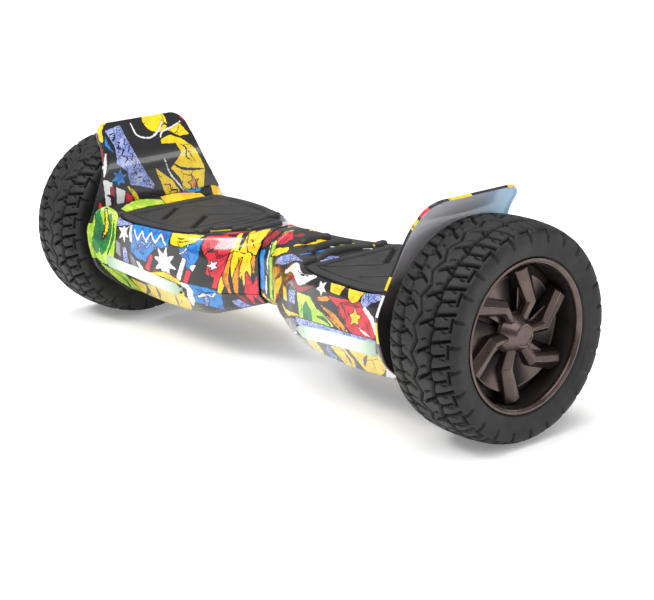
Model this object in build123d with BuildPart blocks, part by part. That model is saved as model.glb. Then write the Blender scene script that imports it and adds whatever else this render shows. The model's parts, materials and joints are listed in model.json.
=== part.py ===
from build123d import *
import os

# Self balancing hoverboard with off-road wheels.
# +X is the right half, -Y the front with the lamps, +Z up.
# The origin is on the ground, under the middle. All sizes are in millimetres.

# ---- wheels ----
tyre_radius = 108.0
tyre_width = 93.0
half_track = 310.5  # middle of the board to the middle of a wheel
tread_wall = 6.5
shoulder_inset = 22.5
rim_lip_radius = 75.0
rim_lip_face = 39.5  # wheel's mid-plane to the lip's outer face
rim_lip_width = 3.5
bead_width = 6.0
bead_seat_radius = 70.0
barrel_radius = 68.0
motor_radius = 58.0  # inside of the barrel round the motor
spoke_count = 6
hub_nose_radius = 10.0
hub_nose_face = 26.5
hub_boss_radius = 23.0
face_plate_radius = 60.0
face_plate_start = 8.0
face_plate_wall = 4.0
spoke_height = 8.0
cover_radius = 66.0
cover_face = 37.0
cover_wall = 4.0
cover_bolt_circle = 62.0
cover_bolt_count = 6

# ---- hub motor ----
axle_radius = 10.0
axle_tip_radius = 8.5
axle_inner_stand = 2.0  # past the chassis block
cable_bore_radius = 4.0
inner_bearing_radius = 21.0
inner_bearing_width = 12.0
outer_bearing_radius = 17.5
outer_bearing_width = 10.0
bearing_wall = 6.0
stator_radius = 50.0
stator_start = -20.0  # along the axle, from the wheel's mid-plane
stator_length = 24.0
stator_core_radius = 22.0
tooth_count = 18
tooth_width = 6.0
tooth_tip = 4.0
slot_mouth = 2.5
coil_wall = 1.1
coil_overhang = 3.0
coil_inner_radius = 28.0
coil_outer_radius = 45.0
air_gap = 1.0

# ---- body: heights are measured from the axle ----
shell_wall = 3.0
middle_start = 12.0
neck_x = 62.0
deck_start = 95.0
wheel_gap = 18.0  # end of the body to the tyre's side
flare_length = 14.0
deck_height = 32.0
belly_height = -68.0
middle_top_height = 43.0

# ---- foot pads and ribs ----
pad_inset = 3.0
pad_end_gap = 6.0
pad_stand = 1.5
pad_depth = 4.2
pad_travel = 1.5
pad_side_gap = 0.5
pad_floor_gap = 0.3
pad_bow = 9.0
pad_corner = 8.0
plunger_width = 8.0
plunger_thickness = 2.4
plunger_reach = 15.0
plunger_y = 46.0
rib_height = 3.2
rib_width = 8.5
# each rib's middle, how far its ends turn back, and its half length
ribs = [(37.0, 7.0, 20.0), (58.5, 9.0, 29.0), (78.0, 13.0, 38.0)]
stub_x = 80.0
stub_y = 49.0
stub_length = 15.0

# ---- fender ----
fender_wall = 3.5
fender_over_tyre = 20.0
kink_under_tyre = 17.0
fender_lean = 6.0
fender_reach = 34.0
fender_bend = 22.0
axle_window = 20.0

# ---- lamps ----
lamp_end_gap = 4.0
lamp_edge = 1.0
lamp_depth = 4.0
lamp_stand = 0.8
led_count = 10
led_size = 3.0
board_wall = 1.6

# ---- centre joint ----
shaft_radius = 15.0
shaft_bore_radius = 9.0
shaft_end = 102.0
tube_wall = 7.0
tube_start = 17.0
bulkhead_x = 90.0
bulkhead_wall = 6.0
bush_wall = 3.0
bush_length = 20.0
collar_gap = 1.0
collar_wall = 4.0
circlip_wall = 1.5
circlip_reach = 4.0
circlip_groove = 1.5
harness_radius = 5.0
grommet_length = 6.0

# ---- chassis ----
tray_height = -61.0
tray_wall = 4.0
tray_half_width = 42.0
tray_end_gap = 6.0
flange_height = 7.5
flange_wall = 4.0
block_length = 40.0
block_half_width = 28.0
clamp_wall = 7.0
clamp_bolt_radius = 2.5
clamp_bolt_inset = 8.0
clamp_bolt_y = 20.0
clamp_bolt_depth = 18.0

# ---- screws ----
screw_radius = 1.9
screw_head_radius = 3.6
screw_head = 2.4
small_bolt_radius = 1.5
small_bolt_head_radius = 3.0
belly_screw_first = 17.0  # outwards from the start of the foot pad
belly_screw_second = 6.5  # outwards from the widest section
belly_screw_last = 4.0  # inwards from the last section
belly_screw_y = 34.0
belly_screw_seat = -63.0
side_screw_first = 35.0
side_screw_last = 17.0
side_screw_y = 62.0
side_screw_drop = 8.0
side_block_width = 9.0
side_block_height = 14.0
end_screws = ((62.0, 14.0), (54.0, -51.0))  # half depth and height of the fender's screws
end_block_length = 16.0
end_block_size = 10.0

# ---- electronics ----
gyro_x = 150.0
gyro_length = 60.0
gyro_width = 108.0
gyro_height = 4.0
sensor_width = 16.0
sensor_depth = 10.0
sensor_height = 11.0
sensor_slot = 4.0
battery_start = 106.0
battery_length = 84.0
battery_width = 104.0
battery_thickness = 48.0
rail_height = 4.0
main_board_length = 80.0
main_board_width = 84.0
post_radius = 3.0
post_height = 8.0
capacitor_radius = 8.0
capacitor_height = 24.0

# ---- power button and charging port, on the right half's rear face ----
button_x = 150.0
button_radius = 7.0
button_face = 85.0
button_stand = 2.0
button_travel = 1.5
button_bezel = 4.0
port_x = 195.0
port_radius = 9.8
port_bore_radius = 7.0
port_face = 88.0
port_depth = 16.0
port_bore_depth = 9.0
contact_radius = 1.0
contact_length = 4.0
port_bezel = 3.5
port_height = -1.0
cap_wall = 2.5
cap_radius = 12.5
hinge_pin_radius = 1.0
hinge_wall = 1.2
lug_width = 2.5
strap_half_width = 4.0

# ---- clearances ----
press = 0.02
running = 0.05
loose = 0.1
free = 0.3

# ---- worked out from the sizes above ----
axle_z = tyre_radius
body_end = half_track - tyre_width / 2 - wheel_gap
deck_end = body_end - flare_length
deck_middle = (deck_start + deck_end) / 2
deck_z = axle_z + deck_height
tray_z = axle_z + tray_height
block_start = body_end - tray_end_gap - block_length
axle_inner_end = block_start - axle_inner_stand
tube_radius = shaft_radius + tube_wall
fender_top = tyre_radius + fender_over_tyre
fender_kink = tyre_radius - kink_under_tyre
belly_screw_xs = (deck_start + belly_screw_first, deck_middle + belly_screw_second,
                  deck_end - belly_screw_last)
side_screw_xs = (deck_start + side_screw_first, deck_end - side_screw_last)
recess_depth = pad_depth - pad_stand + pad_travel + pad_floor_gap
port_z = axle_z + port_height
hinge_z = port_z + port_radius + port_bezel + hinge_pin_radius + hinge_wall
hinge_y = port_face + free + cap_wall / 2
axle_line = Axis((0, 0, axle_z), (1, 0, 0))
wheel_section = Plane(origin=(half_track, 0, axle_z), x_dir=(1, 0, 0), z_dir=(0, -1, 0))

# The body's cross-sections from the middle outwards: place along X, then the half depth and
# the height over the axle of the top edge, shoulder, lamp's upper edge, lamp's lower edge
# (the seam between the shells) and belly edge.
sections = [
    (middle_start, [(12, middle_top_height), (30, 33), (36, 16), (36, -26), (26, -37.5)]),
    (neck_x, [(45, 34.5), (60, 14), (64.5, -20), (63.5, -28), (45, -57)]),
    (deck_start, [(64, deck_height), (72, 20), (75.5, -27), (74, -36.5), (46, belly_height)]),
    (deck_middle, [(76, deck_height), (81, 22), (82, -21), (80.5, -31), (46, belly_height)]),
    (deck_end, [(70, deck_height), (76, 22), (85.5, -15), (84, -26), (46, -65.5)]),
    (body_end, [(78, 39), (87, 36), (97, 9), (88, -25), (47, -66)]),
]

os.makedirs("parts", exist_ok=True)


def write(part, name):
    """Writes one finished piece as its own STEP file."""
    part.label = name
    export_step(part, f"parts/{name}.step")


def mirrored(part):
    """The same piece for the left half."""
    with BuildPart() as other:
        mirror(part.solids(), about=Plane.YZ)
    return other.part


def write_both(part, name):
    """Writes a right-hand piece and its mirror image."""
    write(part, f"{name}_right")
    write(mirrored(part), f"{name}_left")


def corners_at(x):
    """The five front corners (half depth, height over the axle) of the body at a place along X."""
    for (x0, low), (x1, high) in zip(sections, sections[1:]):
        if x <= x1:
            t = (x - x0) / (x1 - x0)
            return [(a + (c - a) * t, b + (d - b) * t) for (a, b), (c, d) in zip(low, high)]
    return sections[-1][1]


def outline_at(x, inset=0.0):
    """The body's whole outline at x as (y, z) points, moved inwards by inset."""
    side = corners_at(x)
    ring = [(-y, z) for y, z in side] + [(y, z) for y, z in reversed(side)]
    edges = []
    for (y0, z0), (y1, z1) in zip(ring, ring[1:] + ring[:1]):
        length = ((y1 - y0) ** 2 + (z1 - z0) ** 2) ** 0.5
        normal = ((z0 - z1) / length, (y1 - y0) / length)
        edges.append((normal, normal[0] * y0 + normal[1] * z0 + inset))
    points = []
    for ((a, b), c), ((d, e), f) in zip(edges[-1:] + edges[:-1], edges):
        det = a * e - b * d
        points.append(((c * e - b * f) / det, axle_z + (a * f - c * d) / det))
    return points


def body_loft(inset=0.0, start=middle_start, mode=Mode.ADD):
    """The body's outer form, or the space inside a wall of that inset."""
    rings = []
    for x in [start] + [x for x, _ in sections if x > start]:
        with BuildSketch(Plane.YZ.offset(x)) as ring:
            with BuildLine():
                Polyline(*outline_at(x, inset), close=True)
            make_face()
        rings.append(ring.sketch)
    loft(rings, ruled=True, mode=mode)


def seam_region(above):
    """Keeps what lies above, or below, the seam between the top and bottom shells."""
    seam = [(x, axle_z + side[3][1]) for x, side in sections]
    far = axle_z + (2 if above else -1) * axle_z
    with BuildSketch(Plane.XZ) as region:
        with BuildLine():
            Polyline((seam[0][0], far), *seam, (seam[-1][0], far), close=True)
        make_face()
    extrude(region.sketch, amount=axle_z, both=True, mode=Mode.INTERSECT)


def box_between(low, high, mode=Mode.ADD):
    """A box from its lowest corner to its highest."""
    size = [b - a for a, b in zip(low, high)]
    with Locations(tuple((a + b) / 2 for a, b in zip(low, high))):
        Box(*size, mode=mode)


def cylinder_along(axis, start, radius, length, mode=Mode.ADD):
    """A cylinder that begins at start and runs along the axis "X", "Y" or "Z"."""
    direction = {"X": (1, 0, 0), "Y": (0, 1, 0), "Z": (0, 0, 1)}[axis]
    with BuildSketch(Plane(origin=start, z_dir=direction)) as disc:
        Circle(radius)
    extrude(disc.sketch, amount=length, mode=mode)


def turned(points, mode=Mode.ADD):
    """A solid of revolution about the axle, from (distance from the wheel's middle, radius)."""
    with BuildSketch(wheel_section) as profile:
        with BuildLine():
            Polyline(*points, close=True)
        make_face()
    revolve(profile.sketch, axis=axle_line, mode=mode)


def pad_outline(grow):
    """The foot pad's plan: bowed front and rear edges and rounded corners."""
    x0 = deck_start + pad_inset - grow
    x1 = deck_end - pad_end_gap + grow
    y0 = sections[2][1][0][0] - pad_inset + grow
    y1 = sections[4][1][0][0] - pad_inset + grow
    bow = (y0 + y1) / 2 + pad_bow
    with BuildLine() as outline:
        ThreePointArc((x0, -y0), ((x0 + x1) / 2, -bow), (x1, -y1))
        Line((x1, -y1), (x1, y1))
        ThreePointArc((x1, y1), ((x0 + x1) / 2, bow), (x0, y0))
        Line((x0, y0), (x0, -y0))
    make_face(outline.edges())


def lamp_bar(out, depth, mode=Mode.ADD):
    """A bar behind the lamp's face, from out in front of it to depth behind it."""
    low, high = deck_start + lamp_end_gap, deck_end - lamp_end_gap
    bars = []
    for x in (low, deck_middle, high):
        corners = corners_at(x)
        (y_top, z_top), (y_low, z_low) = corners[2], corners[3]
        z_top, z_low = axle_z + z_top - lamp_edge, axle_z + z_low + lamp_edge
        with BuildSketch(Plane.YZ.offset(x)) as bar:
            with BuildLine():
                Polyline(
                    (-y_top - out, z_top),
                    (-y_top + depth, z_top),
                    (-y_low + depth, z_low),
                    (-y_low - out, z_low),
                    close=True,
                )
            make_face()
        bars.append(bar.sketch)
    loft(bars, ruled=True, mode=mode)


def side_blocks(x_low, x_high, y_low, z_low, z_high):
    """A block at the front and one at the rear, running out through the side walls."""
    for side in (-1, 1):
        ys = sorted((side * y_low, side * tyre_radius))
        box_between((x_low, ys[0], z_low), (x_high, ys[1], z_high))


def seam_z(x):
    """The seam's height at x."""
    return axle_z + corners_at(x)[3][1]


# ---- top shells ----
def top_shell(ports):
    """Deck, sides and middle of one half, with the pad's recess and the lamp's slot."""
    with BuildPart() as shell:
        body_loft()
        body_loft(shell_wall, middle_start + shell_wall, Mode.SUBTRACT)
        with BuildSketch(Plane.XY.offset(deck_z - recess_depth - shell_wall)):
            pad_outline(pad_side_gap + shell_wall / 2)
        extrude(amount=recess_depth + shell_wall)
        for x in side_screw_xs:
            half = side_block_width / 2
            low = side_screw_y - half
            side_blocks(x - half, x + half, low, seam_z(x) - half, seam_z(x) + side_block_height)
        y, z = end_screws[0]
        half = end_block_size / 2
        side_blocks(body_end - end_block_length, body_end, y - half, axle_z + z - half, axle_z + z + half)
        body_loft(mode=Mode.INTERSECT)
        seam_region(above=True)
        gyro_z = axle_z + gyro_height + board_wall
        for dx in (-1, 1):
            for dy in (-1, 1):
                place = (gyro_x + dx * gyro_length * 0.4, dy * gyro_width * 0.25, gyro_z)
                cylinder_along("Z", place, post_radius, deck_z - recess_depth - shell_wall - gyro_z)
        if ports:
            place = (button_x, button_face, axle_z + port_height)
            cylinder_along("Y", (place[0], place[1] - port_depth, place[2]),
                           button_radius + button_bezel, port_depth)
            cylinder_along("Y", (place[0], place[1] - port_depth * 2, place[2]),
                           button_radius + loose, port_depth * 2, Mode.SUBTRACT)
            place = (port_x, port_face, axle_z + port_height)
            cylinder_along("Y", (place[0], place[1] - port_depth, place[2]),
                           port_radius + port_bezel, port_depth)
            cylinder_along("Y", (place[0], place[1] - port_depth * 2, place[2]),
                           port_radius + press, port_depth * 2, Mode.SUBTRACT)
            for low_x in (port_x - strap_half_width - free - lug_width, port_x + strap_half_width + free):
                low = (low_x, port_face - port_bezel, hinge_z - hinge_pin_radius - hinge_wall)
                high = (low_x + lug_width, hinge_y, hinge_z + hinge_pin_radius + hinge_wall)
                box_between(low, high)
                place = (low_x, hinge_y, hinge_z)
                cylinder_along("X", place, hinge_pin_radius + hinge_wall, lug_width)
                cylinder_along("X", place, hinge_pin_radius + running, lug_width, Mode.SUBTRACT)
        with BuildSketch(Plane.XY.offset(deck_z - recess_depth)):
            pad_outline(pad_side_gap)
        extrude(amount=recess_depth * 3, mode=Mode.SUBTRACT)
        with BuildSketch(Plane.XY.offset(deck_z - recess_depth - shell_wall * 2)):
            with Locations((gyro_x, plunger_y), (gyro_x, -plunger_y)):
                Rectangle(plunger_width + 2, plunger_thickness + 2)
        extrude(amount=shell_wall * 3, mode=Mode.SUBTRACT)
        lamp_bar(lamp_depth, lamp_depth + led_size + board_wall + free, Mode.SUBTRACT)
        cylinder_along("X", (0, 0, axle_z), shaft_radius + free, tube_start, Mode.SUBTRACT)
        for x in side_screw_xs:
            for side in (-1, 1):
                place = (x, side * side_screw_y, seam_z(x) - 1)
                cylinder_along("Z", place, screw_radius + loose, side_block_height, Mode.SUBTRACT)
        for side in (-1, 1):
            place = (body_end - end_block_length, side * end_screws[0][0], axle_z + end_screws[0][1])
            cylinder_along("X", place, screw_radius + loose, end_block_length, Mode.SUBTRACT)
    return shell.part


top_shell_right = top_shell(ports=True)
write(top_shell_right, "top_shell_right")
top_shell_left = mirrored(top_shell(ports=False))
write(top_shell_left, "top_shell_left")

# ---- bottom shells ----
with BuildPart() as bottom_shell:
    body_loft()
    body_loft(shell_wall, middle_start + shell_wall, Mode.SUBTRACT)
    for x in belly_screw_xs:
        for side in (-1, 1):
            place = (x, side * belly_screw_y, axle_z + belly_height)
            cylinder_along("Z", place, screw_head_radius * 1.7, tray_height - belly_height)
    for x in side_screw_xs:
        half = side_block_width / 2
        low = side_screw_y - half
        side_blocks(x - half, x + half, low, axle_z + belly_height, seam_z(x) + half)
    y, z = end_screws[1]
    half = end_block_size / 2
    side_blocks(body_end - end_block_length, body_end, y - half, axle_z + z - half, axle_z + z + half)
    body_loft(mode=Mode.INTERSECT)
    seam_region(above=False)
    for x in belly_screw_xs:
        for side in (-1, 1):
            seat = axle_z + belly_screw_seat
            place = (x, side * belly_screw_y, seat - shell_wall * 3)
            cylinder_along("Z", place, screw_head_radius + free, shell_wall * 3, Mode.SUBTRACT)
            place = (x, side * belly_screw_y, seat - 1)
            cylinder_along("Z", place, screw_radius + loose, shell_wall * 2, Mode.SUBTRACT)
    for x in side_screw_xs:
        for side in (-1, 1):
            seat = seam_z(x) - side_screw_drop
            place = (x, side * side_screw_y, axle_z + belly_height)
            cylinder_along("Z", place, screw_head_radius + free, seat - place[2], Mode.SUBTRACT)
            place = (x, side * side_screw_y, seat - 1)
            cylinder_along("Z", place, screw_radius + loose, side_screw_drop * 2, Mode.SUBTRACT)
    for side in (-1, 1):
        place = (body_end - end_block_length, side * end_screws[1][0], axle_z + end_screws[1][1])
        cylinder_along("X", place, screw_radius + loose, end_block_length, Mode.SUBTRACT)
    cylinder_along("X", (0, 0, axle_z), shaft_radius + free, tube_start, Mode.SUBTRACT)
write_both(bottom_shell.part, "bottom_shell")

# ---- fenders: an upright plate that leans out over the tyre ----
with BuildPart() as fender:
    base_z = axle_z + sections[-1][1][4][1]
    bend_z = axle_z + sections[-1][1][0][1]
    with BuildSketch(Plane.XZ):
        with BuildLine() as inner_line:
            FilletPolyline(
                (body_end, base_z),
                (body_end, bend_z),
                (body_end + fender_lean, axle_z + fender_kink),
                (body_end + fender_reach, axle_z + fender_top - 1),
                radius=fender_bend,
            )
            offset(amount=fender_wall, side=Side.RIGHT)
        make_face()
    extrude(amount=tyre_radius, both=True)
    with BuildSketch(Plane.YZ.offset(body_end)) as fender_outline:
        with BuildLine():
            half_outline = [(47, -66), (90, -27), (97.5, 3), (98, 12), (88, 38)]
            half_outline += [(66, fender_kink), (60, fender_top)]
            side = [(y, axle_z + z) for y, z in half_outline]
            Polyline(*side, *[(-y, z) for y, z in reversed(side)], close=True)
        make_face()
        top_corners = fender_outline.vertices().group_by(Axis.Y)[-1]
        fillet(top_corners, radius=16)
    extrude(amount=tyre_width, both=True, mode=Mode.INTERSECT)
    cylinder_along("X", (body_end, 0, axle_z), axle_window, fender_wall, Mode.SUBTRACT)
    for y, z in end_screws:
        for side in (-1, 1):
            place = (body_end - 1, side * y, axle_z + z)
            cylinder_along("X", place, screw_radius + loose, fender_wall * 2, Mode.SUBTRACT)
write_both(fender.part, "fender")

# ---- screws that close one half ----
with BuildPart() as shell_screws:
    for side in (-1, 1):
        for x in belly_screw_xs:
            place = (x, side * belly_screw_y, axle_z + belly_screw_seat)
            cylinder_along("Z", place, screw_radius, tray_height + tray_wall - belly_screw_seat)
            head = (place[0], place[1], place[2] - screw_head)
            cylinder_along("Z", head, screw_head_radius, screw_head)
        for x in side_screw_xs:
            place = (x, side * side_screw_y, seam_z(x) - side_screw_drop)
            cylinder_along("Z", place, screw_radius, side_screw_drop + side_block_height * 0.75)
            head = (place[0], place[1], place[2] - screw_head)
            cylinder_along("Z", head, screw_head_radius, screw_head)
        for y, z in end_screws:
            place = (body_end - end_block_length * 0.75, side * y, axle_z + z)
            cylinder_along("X", place, screw_radius, end_block_length * 0.75 + fender_wall)
            head = (body_end + fender_wall, side * y, axle_z + z)
            cylinder_along("X", head, screw_head_radius, screw_head)
write_both(shell_screws.part, "shell_screws")

# ---- foot pads ----
with BuildPart() as foot_pad:
    with BuildSketch(Plane.XY.offset(deck_z + pad_stand - pad_depth)) as pad_plan:
        pad_outline(0)
        fillet(pad_plan.vertices(), radius=pad_corner)
    extrude(amount=pad_depth)
    with BuildSketch(Plane.XY.offset(deck_z + pad_stand - pad_depth)):
        with Locations((gyro_x, plunger_y), (gyro_x, -plunger_y)):
            Rectangle(plunger_width, plunger_thickness)
    extrude(amount=-plunger_reach)
write_both(foot_pad.part, "foot_pad")

# ---- grip ribs between the pad and the middle ----
with BuildPart() as grip_ribs:
    tops = [(x, axle_z + side[0][1]) for x, side in sections[:3]]
    with BuildSketch(Plane.XZ):
        with BuildLine():
            Polyline(*tops, *[(x, z + rib_height) for x, z in reversed(tops)], close=True)
        make_face()
    extrude(amount=tyre_radius, both=True)
    with BuildSketch(Plane.XY.offset(deck_z)):
        for x, turn_back, half_length in ribs:
            with BuildLine(mode=Mode.PRIVATE) as rib_line:
                ThreePointArc((x - turn_back, -half_length), (x, 0), (x - turn_back, half_length))
            SlotArc(rib_line.edge(), rib_width)
        with Locations((stub_x, stub_y), (stub_x, -stub_y)):
            SlotOverall(stub_length, rib_width, rotation=90)
    extrude(amount=middle_top_height, mode=Mode.INTERSECT)
write_both(grip_ribs.part, "grip_ribs")

# ---- lamps ----
with BuildPart() as lamp_lens:
    lamp_bar(lamp_stand, lamp_depth)
write_both(lamp_lens.part, "lamp_lens")

with BuildPart() as lamp_board:
    lamp_bar(-lamp_depth - led_size, lamp_depth + led_size + board_wall)
    led_start = deck_start + lamp_end_gap * 3
    led_pitch = (deck_end - lamp_end_gap * 3 - led_start) / (led_count - 1)
    for number in range(led_count):
        x = led_start + number * led_pitch
        (y_top, z_top), (y_low, z_low) = corners_at(x)[2:4]
        y_face = (y_top + y_low) / 2 - lamp_depth
        z_middle = axle_z + (z_top + z_low) / 2
        low = (x - led_size / 2, -y_face + led_size * 0.2, z_middle - led_size / 2)
        high = (x + led_size / 2, -y_face + led_size * 1.2, z_middle + led_size / 2)
        box_between(low, high)
write_both(lamp_board.part, "lamp_board")


# ---- chassis: tray, bulkhead, tube for the centre shaft and seat for the axle ----
def chassis(bore_radius, carrier):
    """The cast frame of one half. carrier is what stands on the tray: posts or rails."""
    tray_end = body_end - tray_end_gap
    with BuildPart() as frame:
        low = (bulkhead_x, -tray_half_width, tray_z)
        box_between(low, (tray_end, tray_half_width, tray_z + tray_wall))
        for side in (-1, 1):
            ys = sorted((side * tray_half_width, side * (tray_half_width - flange_wall)))
            box_between((bulkhead_x, ys[0], tray_z), (tray_end, ys[1], tray_z + flange_height))
        half = tray_half_width * 0.85
        low = (bulkhead_x, -half, tray_z)
        box_between(low, (bulkhead_x + bulkhead_wall, half, axle_z + tube_radius))
        cylinder_along("X", (tube_start, 0, axle_z), tube_radius, bulkhead_x + bulkhead_wall - tube_start)
        cylinder_along("X", (0, 0, axle_z), bore_radius, shaft_end * 2, Mode.SUBTRACT)
        low = (block_start, -block_half_width, tray_z)
        box_between(low, (block_start + block_length, block_half_width, axle_z))
        cylinder_along("X", (block_start, 0, axle_z), axle_radius + press, block_length, Mode.SUBTRACT)
        for x in (block_start + clamp_bolt_inset, block_start + block_length - clamp_bolt_inset):
            for side in (-1, 1):
                place = (x, side * clamp_bolt_y, axle_z - clamp_bolt_depth)
                cylinder_along("Z", place, clamp_bolt_radius + loose, clamp_bolt_depth, Mode.SUBTRACT)
        if carrier == "rails":
            for side in (-1, 1):
                y = side * tray_half_width * 0.5
                low = (battery_start, y - flange_wall, tray_z + tray_wall)
                high = (battery_start + battery_length, y + flange_wall, low[2] + rail_height)
                box_between(low, high)
        else:
            for x, y in board_corners():
                place = (x, y, tray_z + tray_wall)
                cylinder_along("Z", place, post_radius, post_height)
        for x in belly_screw_xs:
            for side in (-1, 1):
                place = (x, side * belly_screw_y, tray_z)
                cylinder_along("Z", place, screw_radius + loose, tray_wall, Mode.SUBTRACT)
    return frame.part


def board_corners():
    """The places of the main board's four posts."""
    middle = battery_start + main_board_length / 2
    reach_x, reach_y = main_board_length * 0.42, main_board_width * 0.3
    return [(middle + a * reach_x, b * reach_y) for a in (-1, 1) for b in (-1, 1)]


write(chassis(shaft_radius + press, "posts"), "chassis_right")
write(mirrored(chassis(shaft_radius + bush_wall + press, "rails")), "chassis_left")

# ---- axle clamps ----
with BuildPart() as axle_clamp:
    low = (block_start, -block_half_width, axle_z)
    box_between(low, (block_start + block_length, block_half_width, axle_z + clamp_wall))
    cylinder_along("X", (block_start, 0, axle_z), axle_radius + clamp_wall, block_length)
    low = (block_start - 1, -block_half_width, axle_z - axle_radius * 2)
    box_between(low, (block_start + block_length + 1, block_half_width, axle_z), Mode.SUBTRACT)
    cylinder_along("X", (block_start, 0, axle_z), axle_radius + press, block_length, Mode.SUBTRACT)
    for x in (block_start + clamp_bolt_inset, block_start + block_length - clamp_bolt_inset):
        for side in (-1, 1):
            place = (x, side * clamp_bolt_y, axle_z)
            cylinder_along("Z", place, clamp_bolt_radius + loose, clamp_wall * 2, Mode.SUBTRACT)
            place = (x, side * clamp_bolt_y, axle_z + clamp_wall)
            cylinder_along("Z", place, clamp_bolt_radius * 1.9, clamp_wall * 2, Mode.SUBTRACT)
write_both(axle_clamp.part, "axle_clamp")

with BuildPart() as clamp_bolts:
    for x in (block_start + clamp_bolt_inset, block_start + block_length - clamp_bolt_inset):
        for side in (-1, 1):
            place = (x, side * clamp_bolt_y, axle_z - clamp_bolt_depth * 0.9)
            cylinder_along("Z", place, clamp_bolt_radius, clamp_bolt_depth * 0.9 + clamp_wall)
            place = (x, side * clamp_bolt_y, axle_z + clamp_wall)
            cylinder_along("Z", place, clamp_bolt_radius * 1.7, clamp_bolt_radius * 2)
write_both(clamp_bolts.part, "clamp_bolts")

# ---- axles, bearings and hub motors ----
bearing_in = -cover_face
outer_bearing_start = face_plate_start - 1
with BuildPart() as axle:
    inner_end = axle_inner_end - half_track
    turned([
        (inner_end, 0),
        (inner_end, axle_radius),
        (outer_bearing_start, axle_radius),
        (outer_bearing_start, axle_tip_radius),
        (outer_bearing_start + outer_bearing_width, axle_tip_radius),
        (outer_bearing_start + outer_bearing_width, 0),
    ])
    bore = stator_start - coil_overhang * 2 - inner_end
    cylinder_along("X", (axle_inner_end, 0, axle_z), cable_bore_radius, bore, Mode.SUBTRACT)
write_both(axle.part, "axle")

with BuildPart() as wheel_bearings:
    for start, width, inner, outer in (
        (bearing_in, inner_bearing_width, axle_radius, inner_bearing_radius),
        (outer_bearing_start, outer_bearing_width, axle_tip_radius, outer_bearing_radius),
    ):
        turned([
            (start, inner + running),
            (start + width, inner + running),
            (start + width, outer),
            (start, outer),
        ])
write_both(wheel_bearings.part, "wheel_bearings")

stator_plane = Plane(origin=(half_track + stator_start, 0, axle_z), x_dir=(0, 1, 0), z_dir=(1, 0, 0))
with BuildPart() as stator:
    with BuildSketch(stator_plane):
        Circle(stator_radius)
        Circle(stator_radius - tooth_tip, mode=Mode.SUBTRACT)
        with PolarLocations(stator_radius, tooth_count, start_angle=180 / tooth_count):
            Rectangle(tooth_tip * 3, slot_mouth, mode=Mode.SUBTRACT)
        Circle(stator_core_radius)
        tooth_length = stator_radius - tooth_tip / 2 - stator_core_radius + 2
        with PolarLocations(stator_core_radius - 2 + tooth_length / 2, tooth_count):
            Rectangle(tooth_length, tooth_width)
        Circle(axle_radius + press, mode=Mode.SUBTRACT)
    extrude(amount=stator_length)
write_both(stator.part, "stator")

with BuildPart() as windings:
    coil_plane = stator_plane.offset(-coil_overhang)
    coil_length = coil_outer_radius - coil_inner_radius
    coil_middle = (coil_outer_radius + coil_inner_radius) / 2
    with BuildSketch(coil_plane):
        with PolarLocations(coil_middle, tooth_count):
            Rectangle(coil_length, tooth_width + 2 * coil_wall)
    extrude(amount=stator_length + 2 * coil_overhang)
    with BuildSketch(stator_plane):
        with PolarLocations(coil_middle, tooth_count):
            Rectangle(coil_length + 1, tooth_width)
    extrude(amount=stator_length, mode=Mode.SUBTRACT)
write_both(windings.part, "windings")

with BuildPart() as magnet_ring:
    turned([
        (stator_start, stator_radius + air_gap),
        (stator_start + stator_length, stator_radius + air_gap),
        (stator_start + stator_length, motor_radius),
        (stator_start, motor_radius),
    ])
write_both(magnet_ring.part, "magnet_ring")

# ---- rims, covers and tyres ----
lip_inner = rim_lip_face - rim_lip_width
bead_toe = lip_inner - bead_width
cover_in = cover_face - cover_wall
face_plate_end = face_plate_start + face_plate_wall
with BuildPart() as rim:
    turned([
        (-rim_lip_face, rim_lip_radius),
        (-lip_inner, rim_lip_radius),
        (-lip_inner, bead_seat_radius),
        (-bead_toe, barrel_radius),
        (bead_toe, barrel_radius),
        (lip_inner, bead_seat_radius),
        (lip_inner, rim_lip_radius),
        (rim_lip_face, rim_lip_radius),
        (rim_lip_face, rim_lip_radius - 6),
        (bead_toe, face_plate_radius + 4),
        (face_plate_end, face_plate_radius + 2),
        (face_plate_end, face_plate_radius),
        (face_plate_start, face_plate_radius),
        (face_plate_start, motor_radius),
        (-cover_in, motor_radius),
        (-cover_in, cover_radius),
        (-cover_face, cover_radius),
        (-rim_lip_face, cover_radius + 2),
    ])
    bolt_plane = Plane(origin=(half_track - cover_in, 0, axle_z), x_dir=(0, 1, 0), z_dir=(1, 0, 0))
    with BuildSketch(bolt_plane):
        with PolarLocations(cover_bolt_circle, cover_bolt_count):
            Circle(small_bolt_radius + loose)
    extrude(amount=cover_wall * 4, mode=Mode.SUBTRACT)
write_both(rim.part, "rim")

with BuildPart() as motor_cover:
    turned([
        (-cover_face, inner_bearing_radius),
        (-cover_face, cover_radius - press),
        (-cover_in, cover_radius - press),
        (-cover_in, inner_bearing_radius + bearing_wall),
        (-cover_face + inner_bearing_width, inner_bearing_radius + bearing_wall),
        (-cover_face + inner_bearing_width, inner_bearing_radius),
    ])
    with BuildSketch(bolt_plane):
        with PolarLocations(cover_bolt_circle, cover_bolt_count):
            Circle(small_bolt_radius + loose)
    extrude(amount=-cover_wall, mode=Mode.SUBTRACT)
write_both(motor_cover.part, "motor_cover")

with BuildPart() as cover_bolts:
    with BuildSketch(bolt_plane.offset(-cover_wall)):
        with PolarLocations(cover_bolt_circle, cover_bolt_count):
            Circle(small_bolt_radius)
    extrude(amount=cover_wall * 4)
    with BuildSketch(bolt_plane.offset(-cover_wall)):
        with PolarLocations(cover_bolt_circle, cover_bolt_count):
            Circle(small_bolt_head_radius)
    extrude(amount=-screw_head)
write_both(cover_bolts.part, "cover_bolts")

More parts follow.
